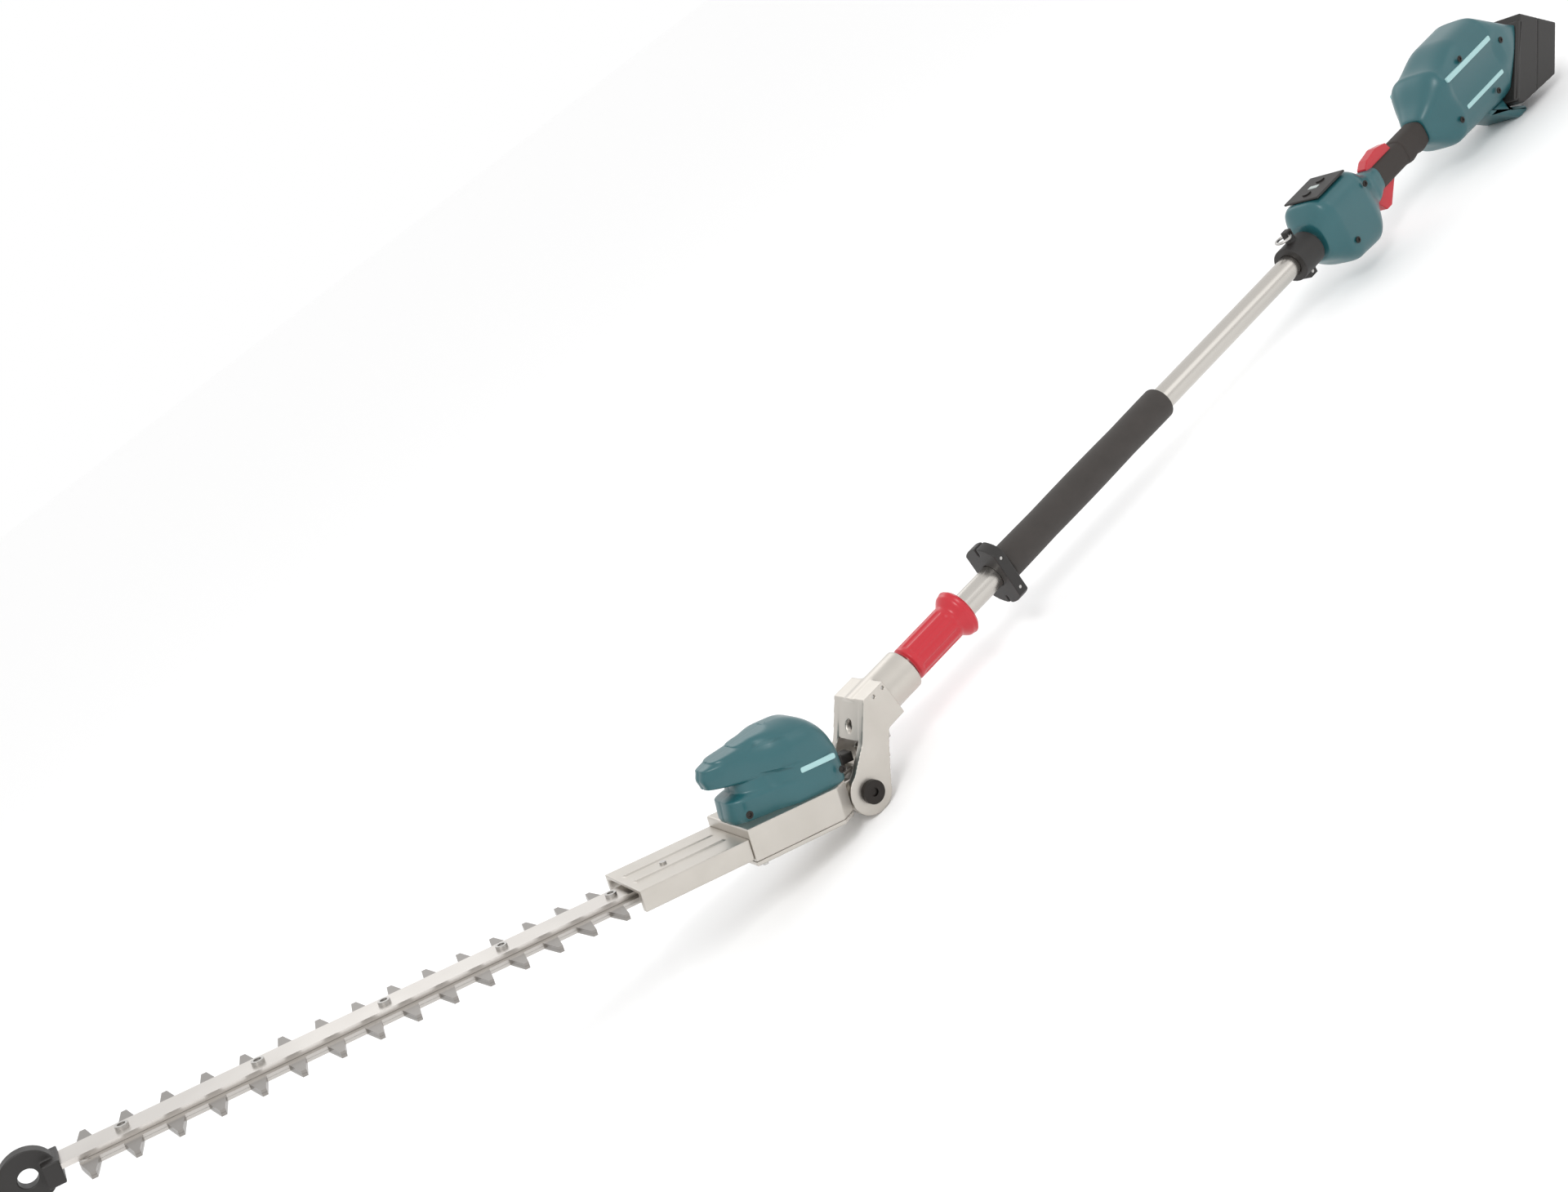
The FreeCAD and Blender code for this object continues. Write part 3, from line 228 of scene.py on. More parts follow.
def ease_ends(x, first, last):
    """From 0 at both ends of a piece to 1 inside: a quarter circle over the first and last mm."""
    near = np.clip((x - x[0]) / first, 0, 1)
    far = np.clip((x[-1] - x) / last, 0, 1)
    return np.sqrt(1 - (1 - near) ** 2) * np.sqrt(1 - (1 - far) ** 2)


def stations(low, high, count):
    """Places from low to high, closer together at both ends by a cosine."""
    return low + (high - low) * (1 - np.cos(np.linspace(0, math.pi, count))) / 2


def turned(name, profile, count, swell=None):
    """A profile of (along, radius) turned about the pole frame's X axis.

    swell is a function of (along, angle) that scales the radius.
    """
    run, radius = np.array(profile, float).T
    v = np.arange(count) / count * TURN
    wide = radius[:, None] * np.ones(count)
    if swell is not None:
        wide = wide * swell(run[:, None], v[None, :])
    line = np.broadcast_to(run[:, None], wide.shape)
    return surface(name, np.stack([line, wide * np.cos(v), wide * np.sin(v)], -1), "pole")


def rounded_rod(low, high, radius, edge):
    """The profile of a rod from low to high whose rims are quarter circles."""
    turn = np.linspace(0, math.pi / 2, RIM_STEPS)
    start = [(low + edge * (1 - math.sin(a)), radius - edge * (1 - math.cos(a))) for a in turn[::-1]]
    end = [(high - edge * (1 - math.sin(a)), radius - edge * (1 - math.cos(a))) for a in turn]
    return start + end


def curved_outline(corners, radius):
    """A closed outline whose corners are rounded off by quadratic curves, a radius back each way."""
    corners = np.array(corners, float)
    before, after = np.roll(corners, 1, 0) - corners, np.roll(corners, -1, 0) - corners
    back, ahead = np.linalg.norm(before, axis=1), np.linalg.norm(after, axis=1)
    reach = np.minimum(radius, np.minimum(back, ahead) * HALF_A_SIDE)[:, None]
    start, end = corners + before / back[:, None] * reach, corners + after / ahead[:, None] * reach
    t = np.linspace(0, 1, CORNER_STEPS)[None, :, None]
    bent = (1 - t) ** 2 * start[:, None] + 2 * t * (1 - t) * corners[:, None] + t ** 2 * end[:, None]
    return bent.reshape(-1, 2)


def plate(name, place, outline, low, high, edge):
    """An outline in XZ carried across Y from low to high, with rims rounded by edge.

    Row u of the grid is the outline drawn in along its normals by edge * (1 - cos u).
    """
    ahead = np.roll(outline, -1, 0) - np.roll(outline, 1, 0)
    normal = np.stack([ahead[:, 1], -ahead[:, 0]], -1) / np.linalg.norm(ahead, axis=1)[:, None]
    x, z = outline.T
    if np.sum(x * np.roll(z, -1) - z * np.roll(x, -1)) < 0:
        normal = -normal
    turn = np.linspace(0, math.pi / 2, RIM_STEPS)
    inset = np.concatenate([edge * (1 - np.sin(turn)), edge * (1 - np.sin(turn[::-1]))])
    across = np.concatenate([low + edge * (1 - np.cos(turn)), high - edge * (1 - np.cos(turn[::-1]))])
    flat = outline[None] - normal[None] * inset[:, None, None]
    y = np.broadcast_to(across[:, None], flat.shape[:2])
    return surface(name, np.stack([flat[..., 0], y, flat[..., 1]], -1), place)


def tube(name, place, path, radius, sides):
    """A round wire carried along a path: each ring stands square to the path's own direction."""
    ahead = np.gradient(path, axis=0)
    ahead /= np.linalg.norm(ahead, axis=1)[:, None]
    side = np.cross(ahead, NEVER_ALONG)
    side /= np.linalg.norm(side, axis=1)[:, None]
    up = np.cross(ahead, side)
    v = (np.arange(sides) / sides * TURN)[None, :, None]
    points = path[:, None] + radius * (np.cos(v) * side[:, None] + np.sin(v) * up[:, None])
    return surface(name, points, place)


def softened(name, grain, passes, node):
    """A copy of a CAD node with the soft edges of a casting: remeshed at a grain in mm and relaxed."""
    source = frame["nodes"][node].data
    points = np.empty(len(source.vertices) * 3, np.float32)
    source.vertices.foreach_get("co", points)
    loops = np.empty(len(source.loops), np.int32)
    source.loops.foreach_get("vertex_index", loops)
    spots, places = np.unique(points.reshape(-1, 3).round(7), axis=0, return_inverse=True)
    corners = places.reshape(-1)[loops.reshape(-1, 3)]
    whole = (corners != np.roll(corners, 1, 1)).all(1)
    mesh = bpy.data.meshes.new(name)
    mesh.from_pydata(spots.tolist(), [], corners[whole].tolist())
    mesh.validate()
    piece = linked(name, mesh)
    remesh = piece.modifiers.new("Cast", "REMESH")
    remesh.mode = "VOXEL"
    remesh.voxel_size = grain * MM
    relax = piece.modifiers.new("Relax", "SMOOTH")
    relax.factor = 0.5
    relax.iterations = passes
    bpy.context.view_layer.update()
    made = bpy.data.meshes.new_from_object(piece.evaluated_get(bpy.context.evaluated_depsgraph_get()))
    piece.modifiers.clear()
    piece.data = made
    made.name = name
    return outward(piece, SHARP_CAST)


# ---------------------------------------------------------------- finishes

def linear(code):
    """A hex colour in sRGB as the linear values that a shader takes."""
    parts = [int(code[i:i + 2], 16) / 255 for i in (0, 2, 4)]
    return [c / 12.92 if c <= 0.04045 else ((c + 0.055) / 1.055) ** 2.4 for c in parts] + [1.0]


def add(tree, kind, values=None, links=None, **settings):
    """One shader node with its settings, its sockets' values and its links from other nodes."""
    made = tree.nodes.new("ShaderNode" + kind)
    for name, value in settings.items():
        setattr(made, name, value)
    for name, value in (values or {}).items():
        made.inputs[name].default_value = value
    for name, source in (links or {}).items():
        tree.links.new(source, made.inputs[name])
    return made


def finish(name, colour, roughness, metallic=0.0, **sockets):
    """A principled material and its tree, its shader and the object coordinates in metres."""
    made = bpy.data.materials.new(name)
    made.use_nodes = True
    tree = made.node_tree
    shader = tree.nodes["Principled BSDF"]
    shader.inputs["Base Color"].default_value = linear(colour)
    shader.inputs["Roughness"].default_value = roughness
    shader.inputs["Metallic"].default_value = metallic
    for socket, value in sockets.items():
        shader.inputs[socket.replace("_", " ")].default_value = value
    where = add(tree, "TexCoord").outputs["Object"]
    return made, tree, shader, where


def grained(tree, shader, where, size, depth, stretch=(1, 1, 1), turn=0.0, detail=2.0):
    """Bump from noise whose grains are size mm across and depth mm deep."""
    spot = add(tree, "Mapping", {"Scale": stretch, "Rotation": (0, turn, 0)}, {"Vector": where})
    noise = add(tree, "TexNoise", {"Scale": 1 / (size * MM), "Detail": detail},
                {"Vector": spot.outputs["Vector"]})
    bump = add(tree, "Bump", {"Strength": 0.6, "Distance": depth * MM}, {"Height": noise.outputs["Fac"]})
    tree.links.new(bump.outputs["Normal"], shader.inputs["Normal"])


def mottled(tree, shader, where, size, dark, light):
    """The colour drifts between two shades in patches of size mm."""
    noise = add(tree, "TexNoise", {"Scale": 1 / (size * MM), "Detail": 3.0}, {"Vector": where})
    mix = add(tree, "Mix", {"A": linear(dark), "B": linear(light)}, {"Factor": noise.outputs["Fac"]},
              data_type="RGBA")
    tree.links.new(mix.outputs["Result"], shader.inputs["Base Color"])


HEAD_TURN = math.atan2(FRAMES["head"][1][0][2], FRAMES["head"][1][0][0])


def teal_nylon():
    # glass filled nylon, spark eroded mould: satin with a fine even grain and a broad soft shine
    made, tree, shader, where = finish("teal_moulded_nylon", "1F565C", 0.34, IOR=1.53, Coat_Weight=0.15,
                                       Coat_Roughness=0.3)
    mottled(tree, shader, where, 60, "1C5157", "255D63")
    grained(tree, shader, where, 0.9, 0.03)
    return made


def black_nylon():
    # the same nylon in black, with a coarser eroded grain: dull, a little grey where light grazes it
    made, tree, shader, where = finish("black_moulded_nylon", "1B1816", 0.5, IOR=1.53)
    grained(tree, shader, where, 1.1, 0.05)
    return made


def red_nylon():
    # acetal in signal red: smoother than the covers, with a clear soft shine
    made, tree, shader, where = finish("red_moulded_acetal", "B81C2A", 0.3, IOR=1.48, Coat_Weight=0.15,
                                       Coat_Roughness=0.2)
    grained(tree, shader, where, 1.2, 0.02)
    return made


def grip_foam():
    # closed cell rubber foam, cut and skinned: matt and pitted; pits drawn at 1.4 mm so that they show
    made, tree, shader, where = finish("foam_rubber_grip", "211E1B", 0.85, IOR=1.5, Sheen_Weight=0.08,
                                       Sheen_Roughness=0.6)
    mottled(tree, shader, where, 14, "302C29", "3B3633")
    grained(tree, shader, where, 1.4, 0.18, detail=4.0)
    return made


def soft_overmould():
    # soft elastomer moulded over the handle: matt warm grey brown with a leathery grain of 1.6 mm
    made, tree, shader, where = finish("soft_elastomer_overmould", "2E2723", 0.65, IOR=1.5)
    grained(tree, shader, where, 1.6, 0.1, detail=3.0)
    return made


def cast_aluminium():
    # pressure cast, bead blasted and clear coated: pale, silky, with a fine blasted grain
    made, tree, shader, where = finish("blasted_cast_aluminium", "A9A49B", 0.4, 1.0, Coat_Weight=0.25,
                                       Coat_Roughness=0.25)
    mottled(tree, shader, where, 35, "B9B4AC", "CBC6BF")
    grained(tree, shader, where, 1.0, 0.05, detail=3.0)
    return made


def drawn_aluminium():
    # drawn tube, satin anodised: fine die lines along its length, drawn 0.8 mm apart so that they show
    made, tree, shader, where = finish("anodised_drawn_aluminium", "C2BEB8", 0.25, 1.0)
    grained(tree, shader, where, 0.8, 0.012, stretch=(0.01, 1, 1))
    return made


def ground_steel():
    # tool steel, ground along its length and bright: straight grinding lines, drawn 1 mm apart
    made, tree, shader, where = finish("ground_tool_steel", "CFCBC6", 0.3, 1.0)
    grained(tree, shader, where, 1.0, 0.02, stretch=(0.02, 1, 1), turn=HEAD_TURN)
    mottled(tree, shader, where, 50, "C6C1BC", "D8D4CF")
    return made


def ground_blade():
    # the same ground steel; the teeth beyond the ground bar are painted darker, a painted shade where they
    # reflect a darker surround
    made, tree, shader, where = finish("ground_blade_steel_with_painted_tooth_shade", "CFCBC6", 0.3, 1.0)
    grained(tree, shader, where, 1.0, 0.02, stretch=(0.02, 1, 1), turn=HEAD_TURN)
    # painted shade on the teeth: the colour darkens from 19 to 24 mm out from the blade's middle
    across = add(tree, "SeparateXYZ", links={"Vector": where}).outputs["Y"]
    off = add(tree, "Math", links={0: across}, operation="ABSOLUTE").outputs["Value"]
    edge = add(tree, "MapRange", {"From Min": 19 * MM, "From Max": 24 * MM}, {"Value": off})
    mix = add(tree, "Mix", {"A": linear("BFBBB6"), "B": linear("8E8A86")},
              {"Factor": edge.outputs["Result"]}, data_type="RGBA")
    tree.links.new(mix.outputs["Result"], shader.inputs["Base Color"])
    return made


def zinc_steel():
    # zinc plated steel: cool light grey, faintly cloudy
    made, tree, shader, where = finish("zinc_plated_steel", "B9B7B4", 0.35, 1.0)
    mottled(tree, shader, where, 6, "AFADAA", "C4C2BF")
    return made


def black_steel():
    # oxidised steel: near black with a low metal shine
    made, tree, shader, where = finish("black_oxide_steel", "3A3735", 0.42, 1.0)
    grained(tree, shader, where, 0.9, 0.02)
    return made


def turned_brass():
    # brass bushes: turning marks too fine to show, so only a soft broad shine
    made, tree, shader, where = finish("turned_brass", "C79A4A", 0.3, 1.0)
    mottled(tree, shader, where, 8, "BF9142", "D0A556")
    return made


def stacked_iron():
    # electrical steel sheets stacked along the shaft: dark, with even bands drawn 6 mm apart to show
    made, tree, shader, where = finish("stacked_iron_sheets", "4A4A4C", 0.45, 1.0)
    spot = add(tree, "Mapping", {"Rotation": (0, HEAD_TURN, 0)}, {"Vector": where})
    wave = add(tree, "TexWave", {"Scale": 1 / (20 * 1.0 * MM)}, {"Vector": spot.outputs["Vector"]},
               bands_direction="Z")
    bump = add(tree, "Bump", {"Strength": 0.5, "Distance": 0.05 * MM}, {"Height": wave.outputs["Fac"]})
    tree.links.new(bump.outputs["Normal"], shader.inputs["Normal"])
    return made


def cable_jacket():
    # soft plasticised jacket: black with a dull wax-like shine
    made, tree, shader, where = finish("soft_cable_jacket", "222120", 0.5, IOR=1.52)
    grained(tree, shader, where, 2.0, 0.03)
    return made


def solder_mask():
    # epoxy circuit board under green lacquer: glossy, with faint copper patches below
    made, tree, shader, where = finish("green_lacquered_board", "1E6B3A", 0.25, IOR=1.55)
    mottled(tree, shader, where, 3, "1A5F33", "257845")
    return made


def clear_window():
    # clear polycarbonate lens: smooth, slightly milky
    made, tree, shader, where = finish("clear_polycarbonate", "CBD6D2", 0.12, IOR=1.58,
                                       Transmission_Weight=0.35)
    grained(tree, shader, where, 4.0, 0.02)
    return made


def yellow_nylon():
    # terminal block in yellow glass filled nylon: matt, with a coarse grain
    made, tree, shader, where = finish("yellow_glass_filled_nylon", "C9A227", 0.5, IOR=1.53)
    grained(tree, shader, where, 1.0, 0.04)
    return made


def shrink_wrap():
    # cell sleeves of thin shrunk film: blue and glossy, slightly rippled
    made, tree, shader, where = finish("blue_shrink_film", "2A5FA8", 0.22, IOR=1.5)
    grained(tree, shader, where, 5.0, 0.08)
    return made


def highlight_bar_paint():
    # a painted highlight: paler than the cover where its ridges catch the light, laid on bars that are smooth
    # and satin
    made, tree, shader, where = finish("pale_painted_highlight", "9CC3C4", 0.35, IOR=1.57)
    mottled(tree, shader, where, 25, "97BEBF", "A3CACB")
    return made


TEAL, BLACK, RED, FOAM, SOFT = teal_nylon(), black_nylon(), red_nylon(), grip_foam(), soft_overmould()
CAST, DRAWN, GROUND, TOOTHED = cast_aluminium(), drawn_aluminium(), ground_steel(), ground_blade()
ZINC, OXIDE, BRASS, IRON = zinc_steel(), black_steel(), turned_brass(), stacked_iron()
JACKET, BOARD, WINDOW = cable_jacket(), solder_mask(), clear_window()
YELLOW, FILM, HIGHLIGHT_PAINT = yellow_nylon(), shrink_wrap(), highlight_bar_paint()

KEPT = {
    TEAL: ["head_cover_left", "head_cover_right", "rear_shell_left", "rear_shell_right"],
    BLACK: ["hand_stop", "hanger_clamp", "control_panel", "switch_unit", "battery_rails", "cable_boot",
            "power_button", "reverse_button", "battery_button", "tip_protector", "pack_lid", "pack_case"],
    CAST: ["knuckle", "gear_case", "gear_case_cover", "motor_base", "motor_cap", "blade_guard"],
    DRAWN: ["main_pipe"],
    GROUND: ["guide_bar"], TOOTHED: ["upper_blade", "lower_blade"],
    ZINC: ["pipe_screws", "lever_pins", "pivot_bolt", "crank_bearings", "motor_bearings", "crank_gear",
           "crankshaft", "motor_shaft", "lock_slide", "sleeve_spring", "index_disc", "blade_bolts",
           "blade_nuts", "case_screws", "cover_screws", "housing_screws", "hanger_ring"],
    OXIDE: ["pivot_cap", "sleeve_collar"],
    BRASS: ["pivot_bushes"], IRON: ["motor_stator", "rotor_core"], JACKET: ["pipe_cable"],
    BOARD: ["control_board", "power_board"], WINDOW: ["indicator_lens"], YELLOW: ["terminal_block"],
    FILM: ["battery_cells"],
    RED: ["trigger", "lock_off_lever", "release_sleeve"],
    FOAM: ["pipe_grip"], SOFT: ["handle_overmould"],
}


# every CAD node takes its real finish
for material, names in KEPT.items():
    for name in names:
        painted(frame["nodes"][name].data, material)


# ---------------------------------------------------------------- head cover

def head_cover():
    """Level sections of the motor cover, nose over column, from the base up to the crown.

    Each level runs from a front to a rear line, both smooth functions of height; its half width
    is the cover's, drawn in towards the crown by a quarter ellipse and ahead of the drum by an ease.
    The front line stands over the column, steps back at the notch and comes forward to the nose.
    """
    low, high = span("head", "head_cover_left", "head_cover_right")
    front, rear, base, crown, half = low[0], high[0], low[2], high[2], high[1]
    rise = crown - base
    levels, columns, squareness = 170, 200, 4.2
    u = np.linspace(0, 1, levels)
    z = base + rise * np.sin(u * math.pi / 2) ** 1.05
    column, notch = front + 12, front + 25
    front_line = along([(base, column + 1), (base + 3, column), (base + 19, column + 1),
                        (base + 24, notch), (base + 31, notch), (base + 36, front + 2), (base + 44, front),
                        (base + 52, front + 2), (base + 57, front + 12), (base + 62, front + 36),
                        (crown, front + 70)], z)
    back_straight, side_straight, dome = 12, 40, 44
    s = np.clip((z - base - back_straight) / (rise - back_straight), 0, 1)
    rear_line = rear - dome * (1 - np.sqrt(np.clip(1 - s ** 2.2, 0, 1)))
    s = np.clip((z - base - side_straight) / (rise - side_straight), 0, 1)
    drawn_in = 1 - 0.03 * np.exp(-(z - base) / 3)
    wide = half * np.sqrt(np.clip(1 - 0.97 * s ** 2.6, 0, 1)) * drawn_in
    v = np.arange(columns) / columns * TURN
    v = v - 0.38 * np.sin(2 * v)
    lengthwise, across = bow(v[None, :], squareness)
    middle, reach = (front_line + rear_line) / 2, (rear_line - front_line) / 2
    x = middle[:, None] + reach[:, None] * lengthwise
    drum, flank = rear - 56, rear - 78
    beak = along([(front, 0.4), (front + 22, 0.52), (flank, 0.6), (drum, 1), (rear, 1)], x)
    stem = along([(front, 0.62), (front + 26, 0.7), (flank, 0.74), (drum, 1), (rear, 1)], x)
    stem_top, blend = base + 18, 14
    share = np.clip((z - stem_top) / blend, 0, 1)[:, None]
    y = wide[:, None] * across * (beak * share + stem * (1 - share))
    seam_deep, seam_wide = 0.6, 0.8
    x = x - seam_deep * np.exp(-(y / seam_wide) ** 2) * np.sign(lengthwise)
    points = np.stack([x, y, np.broadcast_to(z[:, None], x.shape)], -1)
    dressed(surface("head_cover", points, "head"), "head", TEAL, "head_cover_left", "head_cover_right")
    # pale bars on the drum's flanks: a painted highlight
    highlight_bars("head", [("head_highlight_bar", (drum + 8, rear - 12), (base + 24, base + 29), half)])


def highlight_bars(place, bars):
    """Blank raised bars on both sides of a cover, painted pale as a highlight along its lit streaks: rounded
    slips that stand a little proud.

    Each bar has a name, its run along the cover, its rise and how far out the cover is there.
    """
    rooted, proud, rim = 2.5, 0.6, 0.6
    for side, label in ((-1, "near"), (1, "far")):
        for name, (begin, end), (low, high), out in bars:
            outline = curved_outline([(begin, low), (end, low), (end, high), (begin, high)], 2)
            ends = sorted((side * (out - rooted), side * (out + proud)))
            # the bars take the pale painted highlight
            dressed(plate(f"{name}_{label}", place, outline, *ends, rim), place, HIGHLIGHT_PAINT)


head_cover()


# ---------------------------------------------------------------- rear housing

REAR_SHELLS = "rear_shell_left", "rear_shell_right"
GRIP_WALL = 2.3                     # the soft grip stands so far out from the handle's core


def flare_and_core():
    """The flare round the pipe's end, tapering into the core that the soft grip sits on.

    Top, underside and half width are smooth lines along the pole, scaled at the front end by an
    ease so that the rim is rounded.
    """
    front = span("pole", *REAR_SHELLS)[0][0]
    grip_low, grip_high = span("pole", "handle_overmould")
    core_top, core_low = grip_high[2] - GRIP_WALL, grip_low[2] + GRIP_WALL
    core_half = grip_high[1] - GRIP_WALL
    panel_low, panel_high = span("pole", "control_panel")
    under_panel = panel_low[2] - 0.4

    neck, core_end = front + 122, front + 224
    x = stations(front, neck, 110)
    flare_top = along([(front, 28), (front + 12, under_panel), (panel_high[0], under_panel),
                       (front + 104, core_top + 3), (neck, core_top + 0.2)], x)
    flare_low = along([(front, -26), (front + 34, -46), (front + 64, -47.5), (front + 103, core_low - 6),
                       (neck, core_low - 0.2)], x)
    flare_half = along([(front, 25), (front + 20, 33.5), (front + 66, 33), (front + 104, core_half + 4),
                        (neck, core_half + 0.2)], x)
    middle = (flare_top + flare_low) / 2
    shrink = 0.78 + 0.22 * ease_ends(x, 10, 1)
    squareness = along([(front, 2.6), (front + 20, 3.6), (front + 70, 3.6), (neck, 3.2)], x)
    flare = lofted("flare_cover", "pole", x, middle + (flare_top - middle) * shrink,
                   middle + (flare_low - middle) * shrink, flare_half * shrink, squareness, count=128)
    dressed(flare, "pole", TEAL, *REAR_SHELLS)

    x = stations(neck - 4, core_end, 60)
    core = lofted("handle_core", "pole", x, np.full(x.shape, core_top), np.full(x.shape, core_low),
                  np.full(x.shape, core_half), 3.2)
    dressed(core, "pole", SOFT, *REAR_SHELLS)
    return core_top, core_low, core_half


def rear_housing(core_top, core_low, core_half):
    """Battery housing and foot, lofted along the pole.

    The crest falls away behind the corner above the battery and the sole climbs along its seat.
    """
    low, high = span("pole", *REAR_SHELLS)
    front, rear, top, ground, half = low[0], high[0], high[2], low[2], high[1]
    rail_low, rail_high = span("pole", "battery_rails")
    corner = rear - (top - rail_high[2]) * 1.19
    lip = rail_low[0] - 2
    start = front + 212
    x = stations(start, rear, 150)
    crest = along([(start, core_top + 6), (start + 36, top - 12), (start + 84, top)], x)
    crest = np.minimum(crest, top - np.clip(x - corner + 4, 0, None) ** 1.02 * 0.82)
    sole = along([(start, core_low - 4), (start + 30, -37), (lip, -40)], x)
    seat_slope = math.tan(math.radians(50))
    sole = np.maximum(sole, -45 + (x - lip) * seat_slope)
    sole = np.minimum(sole, crest - 1.5)
    wide = along([(start, core_half + 6), (start + 36, half), (rear - 40, half), (rear, half - 5)], x)
    middle = (crest + sole) / 2

    def ridges(points):
        """Two crests along each side with a shallow valley between them, all bell curves in height."""
        x, y, z = points[..., 0], points[..., 1], points[..., 2]
        upper, lower = np.exp(-((z - 36) / 7) ** 2), np.exp(-((z + 4) / 7) ** 2)
        level = upper + lower - 1.3 * np.exp(-((z - 16) / 12) ** 2)
        run = np.clip((x - start - 20) / 20, 0, 1) * np.clip((rear - 50 - x) / 12, 0, 1)
        swell = 1 + 0.045 * level * run * (np.abs(y) > 16)
        points[..., 1] = np.clip(y * swell - 1.2 * np.sign(y) * run, -half, half)
        return points

    shrink = 0.72 + 0.28 * ease_ends(x, 10, 4)
    rear_cover = lofted("rear_cover", "pole", x, middle + (crest - middle) * shrink,
                        middle + (sole - middle) * shrink, wide * shrink, 3.6, count=160, shift=ridges)
    dressed(rear_cover, "pole", TEAL, *REAR_SHELLS)
    # pale bars along the two ridges: painted highlights
    highlight_bars("pole", [("upper_highlight_bar", (start + 34, rear - 62), (33, 39), half - 0.2),
                    ("lower_highlight_bar", (start + 44, rear - 66), (-7, -2), half + 0.2)])

    foot_half = 23.9
    outline = curved_outline([(lip - 36, -36), (lip + 10, ground), (lip + 26, ground),
                              (lip + 26, ground + 7), (lip, -50), (lip - 2, -38)], 3)
    dressed(plate("rear_foot", "pole", outline, -foot_half, foot_half, 4), "pole", TEAL, *REAR_SHELLS)

    seat_rim = curved_outline([(lip - 7, -42), (lip + 2, -46), (rear - 0.5, rail_high[2] + 2),
                               (rear - 9, rail_high[2] + 5)], 3)
    dressed(plate("battery_seat_rim", "pole", seat_rim, -half, half, 2.5), "pole", BLACK, *REAR_SHELLS)


rear_housing(*flare_and_core())


# ---------------------------------------------------------------- grips and sleeve

def foam_grip():
    """A foam tube with rounded rims, half a millimetre slimmer where its length is quartered."""
    low, high = span("pole", "pipe_grip")
    front, rear, radius = low[0], high[0], high[2]
    rims = rounded_rod(front, rear, radius, 3)
    waist = 0.5
    body = [(x, radius - waist + waist * abs(math.cos((x - front) / (rear - front) * TURN)))
            for x in np.linspace(front + 4, rear - 4, 60)]
    dressed(turned("foam_grip", rims[:RIM_STEPS] + body + rims[RIM_STEPS:], 72), "pole", FOAM, "pipe_grip")


def handle_grip():
    """The soft handle: an even loft with two finger waves below, a cosine along its length."""
    low, high = span("pole", "handle_overmould")
    x = stations(low[0], high[0], 110)
    wave = 0.9
    waves = wave * np.cos((x - low[0]) / (high[0] - low[0]) * TURN * 2)
    top, under = np.full(x.shape, high[2] - 0.8), low[2] + wave + waves
    half = np.full(x.shape, high[1] - 1.2)
    rim = 2.5 * (1 - ease_ends(x, 3, 3))
    dressed(lofted("soft_handle_grip", "pole", x, top - rim, under + rim, half - rim, 3.0),
            "pole", SOFT, "handle_overmould")


def red_sleeve():
    """The release sleeve: a ribbed barrel that opens to a winged lip at its rear end.

    The radius is a smooth line along the pole, less a clipped cosine round it for the ribs and a
    share of 1 - |cos|^1.5 that leaves a wing on each side of the lip.
    """
    low, high = span("pole", "release_sleeve")
    front, rear, lip = low[0], high[0], high[2]
    radius = lip - 7
    x = np.concatenate([np.linspace(front, front + 3, 8), np.linspace(front + 3.5, rear - 20, 60),
                        np.linspace(rear - 19, rear, 40)])
    r = along([(front, radius - 2.4), (front + 3, radius - 0.2), (rear - 17, radius - 0.2),
               (rear - 7, lip - 1), (rear - 3, lip), (rear, lip - 2.5)], x)
    wings = along([(front, 0), (rear - 20, 0), (rear - 9, 1), (rear, 1)], x)
    ribs = along([(front, 0), (front + 5, 0), (front + 9, 1), (rear - 24, 1), (rear - 19, 0),
                  (rear, 0)], x)
    rib_count, rib_deep, wing_deep = 12, 0.045, 0.1

    def swell(run, v):
        step = np.interp(run[:, 0], x, ribs)[:, None]
        spread = np.interp(run[:, 0], x, wings)[:, None]
        flute = rib_deep * step * np.clip(np.cos(rib_count * v), -0.6, 0.6)
        return 1 - 0.03 * step + flute - wing_deep * spread * (1 - np.abs(np.cos(v - math.pi / 2)) ** 1.5)

    sleeve = turned("red_release_sleeve", np.stack([x, r], -1), 144, swell)
    dressed(sleeve, "sleeve", RED, "release_sleeve")


def sleeve_spring():
    """The coil behind the sleeve: a wire on a helix of even pitch."""
    low, high = span("pole", "sleeve_spring")
    wire, coils = 1.0, 7
    coil = high[2] - wire
    t = np.linspace(0, 1, 400)
    angle = t * coils * TURN
    path = np.stack([low[0] + wire + (high[0] - low[0] - 2 * wire) * t, coil * np.cos(angle),
                     coil * np.sin(angle)], -1)
    dressed(tube("sleeve_coil_spring", "pole", path, wire, sides=10), "pole", ZINC, "sleeve_spring")


foam_grip()
handle_grip()
red_sleeve()
sleeve_spring()


# ---------------------------------------------------------------- castings and clamps

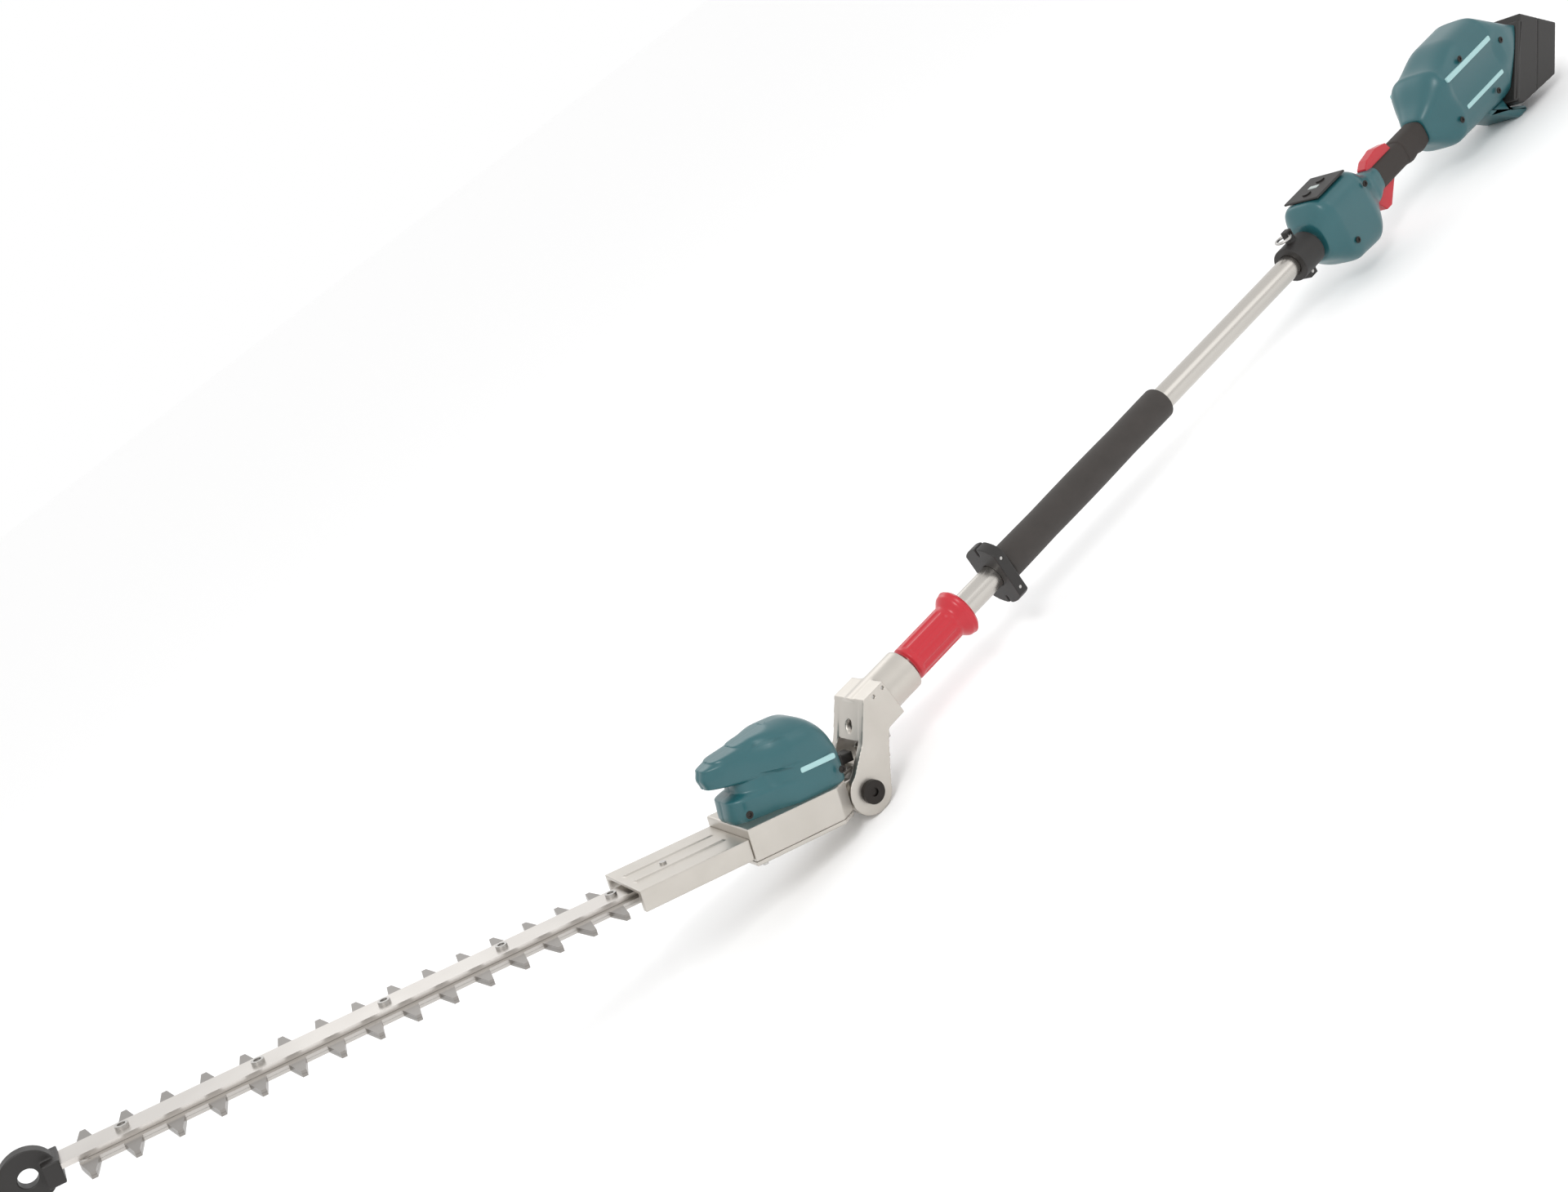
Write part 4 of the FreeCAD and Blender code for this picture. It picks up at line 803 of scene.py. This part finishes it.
# piece, remesh grain in mm, smoothing passes, body, finish and the CAD node it stands for
CASTINGS = [
    ("cast_knuckle", 1.0, 5, "pole", CAST, "knuckle"),
    ("cast_gear_case", 1.0, 5, "head", CAST, "gear_case"),
    ("cast_case_cover", 0.9, 4, "head", CAST, "gear_case_cover"),
    ("cast_blade_guard", 0.9, 4, "head", CAST, "blade_guard"),
    ("moulded_hand_stop", 0.8, 5, "pole", BLACK, "hand_stop"),
    ("moulded_hanger_clamp", 0.7, 4, "pole", BLACK, "hanger_clamp"),
    ("moulded_tip_protector", 0.7, 5, "head", BLACK, "tip_protector"),
    ("moulded_trigger", 0.6, 5, "trigger", RED, "trigger"),
    ("moulded_lock_off_lever", 0.6, 5, "lock_off", RED, "lock_off_lever"),
    ("moulded_control_panel", 0.6, 3, "pole", BLACK, "control_panel"),
    ("moulded_cable_boot", 0.6, 5, "head", BLACK, "cable_boot"),
    ("moulded_pack_case", 0.9, 5, "battery", BLACK, "pack_case"),
    ("moulded_pack_lid", 0.9, 4, "battery", BLACK, "pack_lid"),
    ("moulded_battery_button", 0.5, 3, "battery_latch", BLACK, "battery_button"),
]
for piece_name, grain, passes, body, material, node in CASTINGS:
    dressed(softened(piece_name, grain, passes, node), body, material, node)


# ---------------------------------------------------------------- screws

def screw_heads(name, node, place):
    """Low domed heads across the tool, each with a six lobed socket, facing the near side.

    Height over the rim is dome * (1 - r^2), less the socket's depth where r is inside the lobes.
    """
    sides, dome, deepest = 72, 0.35, 0.8
    v = np.arange(sides) / sides * TURN
    r = np.concatenate([np.linspace(0.02, 0.3, 5), np.linspace(0.36, 0.62, 14), np.linspace(0.66, 1, 10)])
    r = r[:, None]
    lobes = 0.5 * (1 + 0.13 * np.cos(6 * v))
    socket = np.clip((lobes - r) / 0.05, 0, 1)
    for index, (low, high) in enumerate(solids(node, place)):
        middle, thick, radius = (low + high) / 2, (high - low)[1], (high - low)[2] / 2
        height = thick * 0.5 + dome * (1 - r ** 2) - socket * min(deepest, thick + 0.2)
        rings = np.stack([radius * r * np.sin(v), -height, radius * r * np.cos(v)], -1)
        foot = rings[-1:].copy()
        foot[..., 1] = thick * 0.5
        head = surface(f"{name}_{index + 1}", np.concatenate([rings, foot]) + middle, place)
        dressed(head, place, OXIDE, node)


screw_heads("cover_screw", "cover_screws", "head")
screw_heads("housing_screw", "housing_screws", "pole")


# ---------------------------------------------------------------- stage, light and camera

# name, place in m, the point it faces, power in W and edge in m
LAMPS = [("key", (-0.9, -1.3, 2.0), (0, 0, 0.1), 16, 0.7),
         ("fill", (1.6, -1.6, 1.3), (0.2, 0, 0.1), 3, 1.2),
         ("rim", (0.4, 1.9, 1.6), (0, 0, 0.1), 6, 1.2)]


def stage():
    """A plain pale floor under the tool, an even white surround and three soft lamps."""
    level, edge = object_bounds()[0].z, 40.0
    mesh = bpy.data.meshes.new("floor")
    mesh.from_pydata([(-edge, -edge, level), (edge, -edge, level), (edge, edge, level), (-edge, edge, level)],
                     [], [(0, 1, 2, 3)])
    # matt pale paint
    painted(mesh, finish("pale_floor", "FDFDFD", 0.95)[0])
    linked("floor", mesh)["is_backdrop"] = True
    world = bpy.data.worlds.new("studio")
    world.use_nodes = True
    background = world.node_tree.nodes["Background"]
    background.inputs["Color"].default_value = linear("FFFFFF")
    background.inputs["Strength"].default_value = 1.0
    bpy.context.scene.world = world
    bpy.context.scene.view_settings.view_transform = "Standard"
    for name, spot, aim, power, size in LAMPS:
        lamp = bpy.data.lights.new(name, "AREA")
        lamp.energy, lamp.size = power, size
        holder = linked(name, lamp)
        holder.location = spot
        holder.rotation_euler = (Vector(aim) - Vector(spot)).to_track_quat("-Z", "Y").to_euler()


def camera():
    """The camera stands off the pivot and is rolled, so that the pipe runs up to the right."""
    spot = PIVOT * MM + np.array((-0.42239, -1.20944, 0.63577))
    right, up = Vector((0.67029, -0.47805, -0.56761)), Vector((0.65595, 0.02396, 0.75443))
    lens = bpy.data.cameras.new("camera")
    lens.lens, lens.sensor_width = 35.93, 36
    lens.clip_end = 50
    holder = linked("camera", lens)
    holder.matrix_world = Matrix((right, up, right.cross(up))).transposed().to_4x4()
    holder.location = spot
    bpy.context.scene.camera = holder


stage()
camera()
